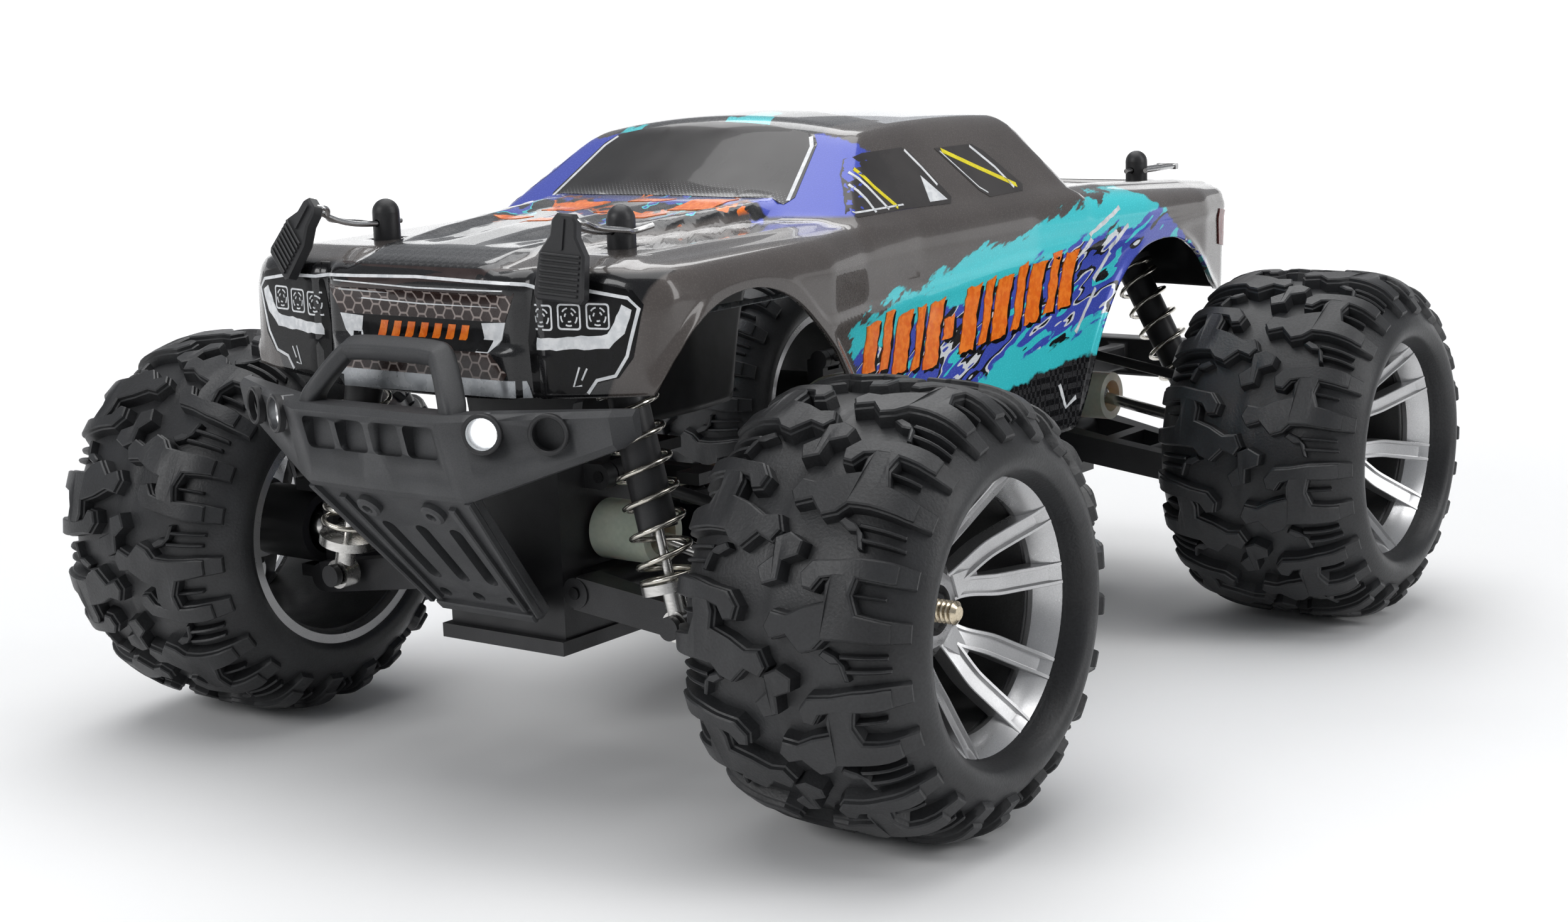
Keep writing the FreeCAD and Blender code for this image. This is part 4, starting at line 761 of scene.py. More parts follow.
def tread_block(solid, outline, height, shift, draft=0.35, foot_height=-0.7):
    """One rubber block: a drafted wall, a chamfer and a top that follows the tyre."""
    foot = dense(outline)
    neck = inset(foot, draft)
    crown = inset(foot, draft + 0.3)

    def fall(s):
        """Blocks get lower as they run over the shoulder."""
        return height * lerp(1.0, 0.62, smooth(19, 27, abs(s)))

    vertices = [tread_point(a + shift, s, foot_height) for a, s in foot]
    vertices += [tread_point(a + shift, s, fall(s) - 0.3) for a, s in neck]
    vertices += [tread_point(a + shift, s, fall(s)) for a, s in crown]
    count = len(foot)
    faces = quads(3, count)
    for level, loop in ((2, crown), (0, foot)):
        flat = [Vector((a, s, 0)) for a, s in loop]
        faces += [tuple(level * count + i for i in triangle)
                  for triangle in geometry.tessellate_polygon([flat])]
    solid.add(vertices, faces)


LONG_LUG = [(0.0, 26.8), (-0.3, 21.5), (-1.0, 17.6), (-4.0, 16.6), (-8.4, 17.4), (-9.2, 12.6),
            (-5.4, 11.0), (-2.6, 11.2),
            (-1.4, 7.6), (0.4, 4.2), (0.0, 0.8), (3.6, -0.9), (6.4, 1.0), (5.2, 4.4), (8.2, 7.4),
            (7.0, 10.6), (5.2, 12.2), (5.0, 15.4), (5.3, 21.5), (5.0, 26.8)]
HOOK_LUG = [(13.4, 26.8), (13.2, 21.5), (13.6, 16.6), (14.6, 12.6), (15.2, 8.2), (18.2, 5.8),
            (21.4, 6.6), (21.8, 9.4),
            (19.4, 11.0), (18.8, 13.4), (18.6, 16.0), (18.7, 21.5), (18.4, 26.8)]
COMB = [(6.4, 11.6), (7.8, 10.4), (9.4, 12.8), (9.3, 14.2), (12.6, 15.2), (12.6, 16.4), (9.2, 15.6),
        (7.4, 14.0)]
THIN_RIBS = [(7.2, 8.3, 14.4, 22.8), (10.0, 11.1, 15.4, 23.4), (20.6, 21.6, 14.8, 21.8)]
CENTRE_HOOK = [(9.6, 2.4), (11.2, 5.8), (14.2, 5.4), (15.6, 2.2), (19.2, 2.0), (20.6, -1.8),
               (17.0, -3.4), (14.6, -0.6), (11.0, -0.8)]


def half_tread(outline, sign):
    """A block outline on one half of the tread."""
    return [(a, sign * s) for a, s in outline]


def two_tier(solid, outline, sign, shift):
    """A lug with a low ledge round it and a raised top that stops short of its outer end."""
    tread_block(solid, half_tread(outline, sign), LEDGE_HEIGHT, shift)
    end = max(s for _, s in outline)
    raised = [(a, s - 3.4 if s > end - 1 else s) for a, s in inset(outline, 0.55)]
    tread_block(solid, half_tread(raised, sign), LUG_HEIGHT, shift, 0.12, 1.4)


def tyre_solid():
    """Carcass with a raised seam and eleven repeats of the block pattern on each half."""
    solid = Solid()
    outer = [(min(u, TYRE_SIDE), r) for u, r in curve_points(OUTER_WALL, 4)]
    inner = [(max(-u, -TYRE_SIDE), r) for u, r in curve_points(INNER_WALL, 4)]
    profile = outer + [(20.5, 26.35), (-25.4, 26.35)] + inner[::-1][:-1]
    profile[0] = (0, 41.0)
    solid.turned(profile, 132)
    pitch = 2 * math.pi * TREAD_RADIUS / PITCHES
    for repeat in range(PITCHES):
        for sign, offset in ((1, 0.0), (-1, HALF_SHIFT)):
            shift = repeat * pitch + offset
            two_tier(solid, LONG_LUG, sign, shift)
            two_tier(solid, HOOK_LUG, sign, shift)
            tread_block(solid, half_tread(COMB, sign), 2.0, shift, 0.2)
            for low, high, start, stop in THIN_RIBS:
                rib = [(low, start), (high, start), (high, stop), (low, stop)]
                tread_block(solid, half_tread(rib, sign), 1.9, shift, 0.15)
        tread_block(solid, CENTRE_HOOK, 3.1, repeat * pitch + 1.2)
    return solid


# ---------------------------------------------------------------- rims

SPOKES = 5
ARM_TURN = 0.262
ARM_PATH = [(6.0, 6.4), (10, 8.0), (15, 11.2), (20, 15.2), (24.0, 18.6), (26.3, 20.3)]


def spoke_arm(solid, angle, lean):
    """One arm of a forked spoke: a ribbed bar that leaves the hub and turns to the lip."""
    rings = []
    for r, u in curve_points(ARM_PATH, 5):
        share = smooth(7.5, 17, r)
        turn = angle + lean * lerp(0.13, ARM_TURN, share)
        width = lerp(2.1, 2.3, share)
        radial = Vector((0, math.cos(turn), math.sin(turn)))
        sideways = Vector((0, -math.sin(turn), math.cos(turn)))
        centre = Vector((u, 0, 0)) + radial * r
        half = [(width, -3.0), (width, 0.4), (width - 0.15, 0.62), (width - 0.75, 0.62),
                (width - 1.05, -0.25)]
        section = [(-v, w) for v, w in half] + half[::-1]
        rings.append([centre + sideways * v + Vector((w, 0, 0)) for v, w in section])
    solid.loft(rings)


def rim_solid():
    """Deep silver rim: wide lip, drop centre lined dark as painted shade, five forked spokes, hub
    with bolt holes.
    """
    solid = Solid()
    barrel = [(-26, 27.4), (-26, 24.6), (-24.5, 24.2), (14.0, 24.2), (14.8, 23.3), (16.0, 23.1),
              (17.9, 23.9), (19.6, 25.2), (20.7, 26.4), (21.15, 26.9), (21.0, 27.4), (18.2, 27.3),
              (17.6, 25.7), (-23.4, 25.7), (-24.4, 27.4)]
    solid.turned(barrel, 120)
    # dark liner inside the silver barrel: painted shade where the barrel looks dark behind the
    # spokes
    liner = [(-23.8, 24.3), (-23.8, 23.5), (13.6, 23.5), (13.6, 24.3)]
    solid.turned(liner, 96, mark=1)
    hub = [(0.8, 3.9), (0.8, 9.6), (4.6, 10.4), (6.2, 10.0), (7.4, 8.6), (8.6, 6.2), (8.6, 4.9),
           (5.4, 4.4), (5.4, 3.9)]
    solid.turned(hub, 60)
    for spoke in range(SPOKES):
        angle = 2 * math.pi * (spoke + 0.25) / SPOKES
        for lean in (-1, 1):
            spoke_arm(solid, angle, lean)
            cut = Matrix.Rotation(angle + lean * (ARM_TURN + 0.075) - math.pi / 2, 4, "X")
            half = 0.16
            solid.loft([[(high, -half, r), (high, half, r), (low, half, r2), (low, -half, r2)]
                        for high, low, r, r2 in ((18.35, 17.8, 24.15, 24.3),
                                                 (20.95, 20.4, 26.5, 26.7))],
                       cut, 1)
        bolt = Matrix.Rotation(angle + math.pi / SPOKES, 4, "X") @ Matrix.Translation((0, 7.2, 0))
        solid.turned([(5.5, AXIS), (5.5, 1.25), (7.9, 1.25), (8.0, 1.1), (8.0, AXIS)], 14, bolt, 1)
        wedge = Matrix.Rotation(angle - math.pi / 2, 4, "X")
        solid.loft([[(low, -wide, r), (low, wide, r), (high, slim, r), (high, -slim, r)]
                    for low, high, wide, slim, r in ((4.0, 8.2, 3.4, 2.6, 8.0),
                                                     (7.4, 9.6, 1.2, 0.9, 13.8))],
                   wedge)
    return solid


def axle_end():
    """Hexagonal nut sunk in the hub and the threaded end of the axle."""
    solid = Solid()
    hexagon = [(4.2 * math.cos(math.radians(a)), 4.2 * math.sin(math.radians(a)))
               for a in range(0, 360, 60)]
    solid.slab(hexagon, 5.5, 8.3, spun(90, "Y"), 1, 0.4)
    thread = [(5.0, AXIS), (5.0, 1.7)]
    for turn in range(5):
        start = 8.0 + turn * 1.05
        thread += [(start, 1.75), (start + 0.45, 2.3), (start + 0.6, 2.3)]
    thread += [(13.2, 1.75), (13.55, 1.35), (13.55, AXIS)]
    solid.turned(thread, 28)
    return solid


def wheels():
    """The four tyres and rims, each turned a little differently on its axle."""
    parts = ((tyre_solid(), "tyre_tread_", M["rubber"], "tyre_rubber", "tyre_"),
             (rim_solid(), "rim_spokes_", [M["silver"], M["groove_and_shade"]], "rim_silver", "rim_"),
             (axle_end(), "axle_nut_", [M["brass"], M["black_steel"]], "bright_steel", None))
    for (end, side), phase in zip(CORNERS, WHEEL_PHASES):
        corner = f"{end}_{side}"
        facing = spun(0 if side == "left" else 180, "Z")
        centre = Vector((SIDES[side] * WHEEL_X, ENDS[end] * WHEEL_Y, WHEEL_Z))
        place = Matrix.Translation(centre) @ facing @ spun(phase, "X")
        for solid, name, finishes, slot, node in parts:
            moved = Solid()
            moved.vertices = [place @ v for v in solid.vertices]
            moved.faces, moved.marks = solid.faces, solid.marks
            piece = moved.piece(name + corner, finishes, 32)
            settle(piece, "wheel_" + corner, slot, *([node + corner] if node else []))


wheels()


# ---------------------------------------------------------------- body shell

RIM_HALF = 50.0
FRONT_EDGE = [(0, -125.6), (20, -126.4), (36, -125.4), (50, -121.8)]
REAR_EDGE = [(0, 121.2), (36, 120.8), (50, 118.2)]
PLAN_SIDE = [(-125, 53.6), (-120, 56.4), (-112, 57.8), (-70, 57.8), (-54, 55.4), (-30, 53.8),
             (20, 53.6), (46, 56.0), (68, 57.8), (100, 57.4), (116, 54.6), (122, 51.4)]
PLAN_FRONT = [(0, -130.6), (22, -130.9), (27, -129.8), (38, -127.6), (50, -125.2), (54, -123.6)]
SHOULDER_Z = 103.5
LOWER_EDGE = [(-124.6, 86.4), (-121.0, 92.6), (-114.7, 99.2), (-104.7, 103.2), (-93.6, 103.6),
              (-83.3, 100.0),
              (-75, 93.6), (-68, 86.5), (-60, 77.5), (-52, 68.5), (-47.6, 58.5), (-46.0, 54.4),
              (-43.0, 53.6), (-20, 53.6),
              (8, 53.8), (34, 54.0), (38.0, 55.4), (40.6, 61.5), (44.4, 72.5), (48.6, 81.1),
              (55.0, 89.8), (62.5, 95.0),
              (72.0, 97.0), (83.5, 96.4), (93.5, 92.0), (101.5, 85.4), (108.5, 80.8), (114.0, 79.6),
              (119.8, 79.6)]
POSTS = [(32.4, -105.8), (-32.4, -105.8), (32.0, 110.0), (-32.0, 110.0)]
POST_HOLE = 3.4
SKIN = 1.1


def deck_height(x, y):
    """Height of the bonnet and the load bed."""
    ax = abs(x)
    middle = along([(-127, 110.6), (-120, 112.4), (-100, 114.4), (-54, 117.0), (-20, 118.0)], y)
    wing = along([(-127, 109.4), (-118, 111.6), (-60, 112.6), (-40, 112.4)], y)
    crease = along([(-127, 17.5), (-54, 31)], y)
    bonnet = lerp(middle, wing, smooth(crease - 0.6, crease + 2.4, ax))
    bonnet -= 1.0 * smooth(44, 50, ax)
    dip = smooth(5, 10, ax) * (1 - smooth(crease - 5.5, crease - 3.0, ax))
    bonnet -= 1.1 * dip * smooth(-120, -104, y) * (1 - smooth(-66, -58, y))
    rail = along([(36, 112.2), (60, 111.8), (104, 109.4), (122, 107.8)], y)
    bed = rail - 1.8 * (1 - smooth(39.5, 42, ax)) * smooth(38, 42, y) * (1 - smooth(114, 117, y))
    bed -= 1.2 * smooth(46.5, 50, ax)
    rib = 0.6 * (1 - smooth(0.9, 1.8, abs((ax + 4) % 13 - 6.5)))
    bed += rib * (1 - smooth(34, 37, ax)) * smooth(46, 50, y) * (1 - smooth(104, 108, y))
    return lerp(bonnet, bed, smooth(0, 40, y))


def cab_height(x, y):
    """Height of the cab's roof, screens and sides, each a gentle plane, met with soft edges."""
    ax = abs(x)
    roof = 134.2 - 0.0026 * x * x - 0.0011 * (y - 2) ** 2
    screen = 116.6 + 0.68 * (y + 54.5) - 0.0022 * x * x
    flank = 112.6 + (50 - ax) * 1.36
    rear = 129.0 - 1.9 * (y - 33)
    height = soft_min(roof, screen, 2.6)
    height = soft_min(height, flank, 3.4)
    return soft_min(height, rear, 3.0)


def top_height(x, y):
    """Height of the shell's upper surface: cab over deck."""
    return soft_max(deck_height(x, y), cab_height(x, y), 1.2)


def flank_point(side, top_y, foot_y, foot_z, t):
    """A point on the flank, from the rim at t 0 to the lower edge at t 1."""
    y = lerp(top_y, foot_y, smooth(0.0, 1.0, t))
    rim_z = top_height(RIM_HALF, top_y)
    z = lerp(rim_z, foot_z, t)
    plan = along(PLAN_SIDE, y)
    if z > SHOULDER_Z:
        share = clamp((z - SHOULDER_Z) / (rim_z - SHOULDER_Z))
        x = RIM_HALF + (plan - RIM_HALF) * math.sqrt(max(0.0, 1 - share * share))
    else:
        drop = (SHOULDER_Z - z) / 50
        x = plan - 2.2 * drop ** 1.4
        x += 0.55 * math.exp(-((z - 96 - 0.05 * y) / 1.6) ** 2)
    arch = 1 - smooth(-56, -50, y) + smooth(36, 42, y) * (1 - smooth(108, 114, y))
    x += 0.9 * clamp(arch) * math.exp(-((z - foot_z) / 2.4) ** 2)
    return side * min(x, 58.0), y, z


def front_point(x_rim, t):
    """A point on the nose, from the bonnet edge at t 0 to the lower edge at t 1."""
    ax = abs(x_rim)
    rim_y = along(FRONT_EDGE, ax)
    rim_z = top_height(x_rim, rim_y)
    foot_z = 84.2 + 2.2 * (ax / 50) ** 2
    z = lerp(rim_z, foot_z, t)
    x = x_rim * (1 + 0.072 * smooth(0, 0.35, t) * smooth(20, 50, ax))
    plan = along(PLAN_FRONT, abs(x))
    turn_z = 106.0
    if z > turn_z:
        share = (z - turn_z) / (rim_z - turn_z)
        y = rim_y + (plan - rim_y) * math.sqrt(max(0.0, 1 - share * share))
    else:
        y = plan
    y += 1.4 * (smooth(24.5, 26.5, ax) - smooth(28, 30, ax))
    y += 1.2 * (1 - smooth(22, 25, ax)) * (smooth(93.5, 95, z) - smooth(103.5, 105, z))
    return x, y, z


def rear_point(x_rim, t):
    """A point on the tail, from the bed edge at t 0 to the lower edge at t 1."""
    ax = abs(x_rim)
    rim_y = along(REAR_EDGE, ax)
    rim_z = top_height(x_rim, rim_y)
    z = lerp(rim_z, 79.6, t)
    x = x_rim * (1 + 0.03 * smooth(0, 0.4, t) * smooth(20, 50, ax))
    y = rim_y + 1.4 * math.sin(math.pi * clamp(t * 1.6, 0, 0.5))
    y -= 0.9 * (smooth(84, 86, z) - smooth(102, 104, z)) * (1 - smooth(38, 41, ax))
    return x, min(y, 122.4), z


def shell_grid():
    """Vertices and faces of the shell: a deck grid with walls hung from its border."""
    across, length, rows = 60, 150, 34
    vertices, index = [], {}
    xs = [RIM_HALF * (2 * i / across - 1) for i in range(across + 1)]

    def deck_y(i, j):
        """Place along the truck of a point of the deck grid."""
        x = xs[i]
        return lerp(along(FRONT_EDGE, abs(x)), along(REAR_EDGE, abs(x)), j / length)

    for j in range(length + 1):
        for i in range(across + 1):
            y = deck_y(i, j)
            index[i, j] = len(vertices)
            vertices.append((xs[i], y, top_height(xs[i], y)))
    faces = [(index[i, j], index[i + 1, j], index[i + 1, j + 1], index[i, j + 1])
             for i in range(across) for j in range(length)]
    border = [(i, 0) for i in range(across)] + [(across, j) for j in range(length)]
    border += [(i, length) for i in range(across, 0, -1)] + [(0, j) for j in range(length, 0, -1)]
    feet = curve_points(LOWER_EDGE, 5)
    reach = [0.0]
    for a, b in zip(feet, feet[1:]):
        reach.append(reach[-1] + abs(b[0] - a[0]) + 0.30 * abs(b[1] - a[1]))
    corner_y = (deck_y(0, 0), deck_y(0, length))

    def foot_at(y):
        """Where the lower edge lies for a flank column that starts at y."""
        share = (y - corner_y[0]) / (corner_y[1] - corner_y[0]) * reach[-1]
        for k in range(len(reach) - 1):
            if reach[k + 1] >= share - 1e-9:
                t = (share - reach[k]) / max(1e-9, reach[k + 1] - reach[k])
                return lerp(feet[k][0], feet[k + 1][0], t), lerp(feet[k][1], feet[k + 1][1], t)
        return feet[-1]

    columns = []
    for i, j in border:
        column = [index[i, j]]
        x, y = xs[i], deck_y(i, j)
        corner = i in (0, across) and j in (0, length)
        for row in range(1, rows + 1):
            t = row / rows
            if corner:
                wall = front_point if j == 0 else rear_point
                a = Vector(wall(x, t))
                b = Vector(flank_point(math.copysign(1, x), y, *foot_at(y), t))
                point = (a + b) / 2
            elif i in (0, across):
                point = flank_point(math.copysign(1, x), y, *foot_at(y), t)
            else:
                point = front_point(x, t) if j == 0 else rear_point(x, t)
            column.append(len(vertices))
            vertices.append(tuple(point))
        columns.append(column)
    for here, after in zip(columns, columns[1:] + columns[:1]):
        for row in range(rows):
            faces.append((here[row], here[row + 1], after[row + 1], after[row]))
    return vertices, faces


def shell_surface():
    """The outer surface as a bmesh with a round hole for each post."""
    vertices, faces = shell_grid()
    bm = bmesh.new()
    made = [bm.verts.new(Vector(v) * MM) for v in vertices]
    for face in faces:
        bm.faces.new([made[i] for i in face])
    bmesh.ops.recalc_face_normals(bm, faces=bm.faces)
    for x, y in POSTS:
        centre = Vector((x, y)) * MM
        doomed = [f for f in bm.faces if f.normal.z > 0.5
                  and (f.calc_center_median().xy - centre).length < POST_HOLE * MM]
        ring = {v for f in doomed for v in f.verts}
        bmesh.ops.delete(bm, geom=doomed, context="FACES")
        for vertex in ring:
            if vertex.is_valid and vertex.is_boundary:
                offset = vertex.co.xy - centre
                vertex.co.xy = centre + offset.normalized() * POST_HOLE * MM
    return bm


def body_shell():
    """Thin painted shell; returns its surface for the print to lie on."""
    bm = shell_surface()
    tree = BVHTree.FromBMesh(bm)
    mesh = bpy.data.meshes.new("pickup_shell")
    bm.to_mesh(mesh)
    bm.free()
    shell = linked("pickup_shell", mesh, [M["paint"], M["lining"]], 60)
    wall = shell.modifiers.new("wall", "SOLIDIFY")
    wall.thickness = SKIN * MM
    wall.offset = -1
    wall.material_offset = 1
    wall.material_offset_rim = 0
    settle(shell, "body_shell", "shell_paint", "body_shell")
    return tree


SHELL = body_shell()


# ---------------------------------------------------------------- print on the shell

VIEWS = {
    "side": (lambda u, v: Vector((200, u, v)), Vector((-1, 0, 0))),
    "front": (lambda u, v: Vector((u, -300, v)), Vector((0, 1, 0))),
    "top": (lambda u, v: Vector((u, v, 300)), Vector((0, 0, -1))),
    "rear": (lambda u, v: Vector((u, 300, v)), Vector((0, -1, 0))),
}


def print_patch(solid, outline, view, lift=0.10, gap=2.4, flips=(1,)):
    """Lay a closed film with this outline on the shell, seen from one side, for each flip of X."""
    start, ray = VIEWS[view]
    bm = bmesh.new()
    bm.faces.new([bm.verts.new((u, v, 0)) for u, v in outline])
    bmesh.ops.triangulate(bm, faces=bm.faces[:])
    for axis, normal in enumerate(((1, 0, 0), (0, 1, 0))):
        low, high = min(p[axis] for p in outline), max(p[axis] for p in outline)
        for step in range(1, int((high - low) / gap) + 1):
            spot = [0, 0, 0]
            spot[axis] = low + step * gap
            bmesh.ops.bisect_plane(bm, geom=bm.verts[:] + bm.edges[:] + bm.faces[:],
                                   plane_co=spot, plane_no=normal)
    bm.verts.index_update()
    tops, feet = [], []
    for vertex in bm.verts:
        origin = start(vertex.co.x, vertex.co.y)
        hit, normal, _, _ = SHELL.ray_cast(origin * MM, ray)
        if hit is None:
            past = 200 if view == "side" else 170
            hit, normal, _, _ = SHELL.find_nearest((origin + ray * past) * MM)
        if normal.dot(ray) > 0:
            normal = -normal
        tops.append(hit / MM + normal * lift)
        feet.append(hit / MM - normal * 0.4)
    count = len(tops)
    faces = [tuple(v.index for v in f.verts) for f in bm.faces]
    faces += [tuple(count + v.index for v in reversed(f.verts)) for f in bm.faces]
    for e in bm.edges:
        if e.is_boundary:
            a, b = (v.index for v in e.verts)
            faces.append((a, b, count + b, count + a))
    bm.free()
    for flip in flips:
        solid.add([(flip * p.x, p.y, p.z) for p in tops + feet], faces)


def stroke(points, width):
    """Outline of a line of even width through the points."""
    line = [Vector(p) for p in points]
    left, right = [], []
    for i, point in enumerate(line):
        ahead = heading(line, i)
        normal = Vector((-ahead.y, ahead.x))
        left.append(tuple(point + normal * width / 2))
        right.append(tuple(point - normal * width / 2))
    return left + right[::-1]


def ragged(outline, amount, seed):
    """Rough up an outline like a torn or sprayed edge."""
    draw = random.Random(seed)
    return [(u + draw.uniform(-amount, amount), v + draw.uniform(-amount, amount))
            for u, v in dense(outline, 1.4)]


def printed(solid, name, finish):
    """Finish one film and stick it to the body shell."""
    settle(solid.piece(name, M[finish], 60), "body_shell", "shell_paint")


BOTH = (1, -1)
WINDSCREEN = [(-33, -52.4), (-20, -53.6), (0, -54.0), (20, -53.6), (33, -52.4), (34.4, -50),
              (30.4, -35.5), (28.0, -33.0),
              (14, -31.4), (0, -31.0), (-14, -31.4), (-28.0, -33.0), (-30.4, -35.5), (-34.4, -50)]
FRONT_WINDOW = [(-50.5, 113.9), (-42.0, 121.4), (-38.0, 124.4), (-33.0, 125.4), (-17.4, 125.6),
                (-15.4, 124.4), (-10.2, 114.2), (-12.0, 112.9), (-30, 113.2), (-48.5, 113.0)]
REAR_WINDOW = [(-5.0, 124.6), (11.0, 124.6), (14.0, 123.0), (21.6, 114.6), (20.0, 113.2),
               (5.0, 113.0), (2.4, 114.6)]
HEAD_PANEL = [(29.6, 109.0), (40, 108.2), (50.4, 106.2), (52.4, 103.5), (50.2, 93.5), (47.0, 89.6),
              (41.6, 88.2), (39.4, 86.2), (27.6, 86.0), (27.0, 96.0), (28.0, 103)]


def cab_glass():
    """Dark tinted windscreen and side windows with their pale edges and bars."""
    screen, sides, trim, bars = Solid(), Solid(), Solid(), Solid()
    print_patch(screen, WINDSCREEN, "top")
    print_patch(trim, stroke([(33.4, -51.2), (29.6, -36.4), (27.6, -33.8)], 0.9), "top", 0.16,
                flips=BOTH)
    for window in (FRONT_WINDOW, REAR_WINDOW):
        print_patch(sides, window, "side", flips=BOTH)
        ring = inset(window, 0.9)
        print_patch(trim, stroke(ring[-2:] + ring[:1], 0.35), "side", 0.16, flips=BOTH)
    for bar in ([(-40.6, 121.8), (-38.4, 117.8), (-36.2, 113.6)],
                [(-43.4, 119.4), (-42.0, 116.2), (-41.4, 113.4)],
                [(-17.0, 125.0), (-14.6, 121.0), (-12.8, 117.0)],
                [(9.6, 124.2), (14.6, 119.0), (17.2, 114.2)]):
        print_patch(trim, stroke(bar, 0.8), "side", 0.16, flips=BOTH)
    print_patch(trim, [(-19.6, 113.8), (-12.4, 113.8), (-17.0, 119.4)], "side", 0.16, flips=BOTH)
    for bar in ([(-38.8, 122.4), (-36.6, 118.4), (-32.6, 113.7)],
                [(-2.8, 124.0), (8.0, 119.2), (18.8, 114.6)]):
        print_patch(bars, stroke(bar, 1.1), "side", 0.16, flips=BOTH)
    printed(screen, "windscreen", "screen")
    printed(sides, "cab_windows", "glass")
    printed(trim, "cab_window_trim", "white")
    printed(bars, "cab_yellow_bars", "yellow")


def nose_print():
    """Grille netting, headlamp panels, lamp squares and pale lines on the nose."""
    layers = {key: Solid() for key in ("gloss_black", "brown", "hexagons", "white", "orange",
                                       "chrome_print")}

    def lay(key, outline, lift=0.10, flips=(1,)):
        """Lay one patch of a layer on the nose."""
        print_patch(layers[key], outline, "front", lift, flips=flips)

    def trapezium(top, z_top, foot, z_foot):
        """Outline centred on the nose from its half widths and heights."""
        return [(-top, z_top), (top, z_top), (foot, z_foot), (-foot, z_foot)]

    lay("brown", trapezium(24, 109.4, 25.2, 104.8))
    lay("hexagons", trapezium(25.2, 104.7, 22.4, 99.4))
    lay("gloss_black", trapezium(20.4, 99.3, 18.4, 93.6))
    lay("hexagons", [(-18.8, 93.4), (18.8, 93.4), (23, 89.4), (20.6, 86.2), (-20.6, 86.2),
                     (-23, 89.4)])
    for mark in range(7):
        x = -12.4 + mark * 3.7
        lay("orange", [(x, 94.6), (x + 2.0, 94.6), (x + 3.2, 98.4), (x + 1.2, 98.4)], 0.18)
    lay("white", [(16.2, 99.0), (22.6, 99.4), (21.4, 96.0), (18.6, 93.4), (15.2, 93.4),
                  (16.8, 96.2)],
        0.18, BOTH)
    lay("gloss_black", HEAD_PANEL, flips=BOTH)
    for square in range(3):
        lamp_print(lay, 31.0 + square * 6.1, 100.7 + 0.25 * square)
    swoosh = [(28.6, 94.2), (29.6, 96.6), (45.2, 97.8), (48.4, 103.4), (50.2, 102.4), (48.8, 98.2),
              (45.4, 95.2)]
    lay("white", ragged(swoosh, 0.16, 5), 0.18, BOTH)
    brow = [(24.6, 107.0), (30, 106.4), (40, 106.2), (49.6, 104.8), (51.6, 102.8), (49.0, 93.8),
            (46.4, 90.0), (42.4, 89.0), (40.4, 86.4)]
    for points, width in ((brow, 0.65), ([(38.8, 91.4), (37.4, 87.6), (39.2, 87.9)], 0.35),
                          ([(40.4, 91.2), (39.2, 88.9)], 0.35)):
        lay("white", stroke(points, width), 0.2, BOTH)
    lay("white", stroke([(-24.6, 107.0), (0, 107.5), (24.6, 107.0)], 0.6), 0.2)
    for z, half in ((105.6, 23), (103.9, 22), (102.3, 21.5)):
        lay("white", stroke([(-half, z + 0.5), (0, z - 0.2), (half, z)], 0.28), 0.2)
    lay("chrome_print", [(-24, 88.4), (26.4, 88.2), (27.4, 84.9), (-24, 84.6)], 0.14)
    for key, solid in layers.items():
        printed(solid, "nose_print_" + key, key)


def lamp_print(lay, x, z):
    """A small square lamp on each side, drawn as an outline with broken rings in it."""
    half = 2.5
    ring = rounded_box((2 * half, 2 * half), 0.7)
    inner = rounded_box((2 * half - 0.7, 2 * half - 0.7), 0.5)
    shapes = [[ring[k - 1], ring[k], inner[k], inner[k - 1]] for k in range(len(ring))]
    for radius, gaps in ((1.7, 5), (0.9, 3)):
        for part in range(gaps):
            start = 2 * math.pi * part / gaps + 0.3 * radius
            arc = [start + k * 0.19 for k in range(5)]
            shapes.append(stroke([(radius * math.cos(a), radius * math.sin(a)) for a in arc], 0.3))
    for shape in shapes:
        lay("white", [(x + u, z + v) for u, v in shape], 0.18, BOTH)


def tail_print():
    """Dark red tail lamps and a plain dark tailgate panel."""
    red, dark = Solid(), Solid()
    for solid, outline, view, flips in (
            (red, [(37.5, 88.5), (47.5, 89.5), (47.5, 101.5), (37.5, 102.5)], "rear", BOTH),
            (red, [(111.5, 92), (117.0, 91), (117.5, 100.5), (110.0, 101.5)], "side", BOTH),
            (dark, [(-34, 87), (34, 87), (34, 102), (-34, 102)], "rear", (1,))):
        print_patch(solid, outline, view, 0.35, 1.6, flips)
    printed(red, "tail_lamps", "red")
    printed(dark, "tailgate_panel", "glass")


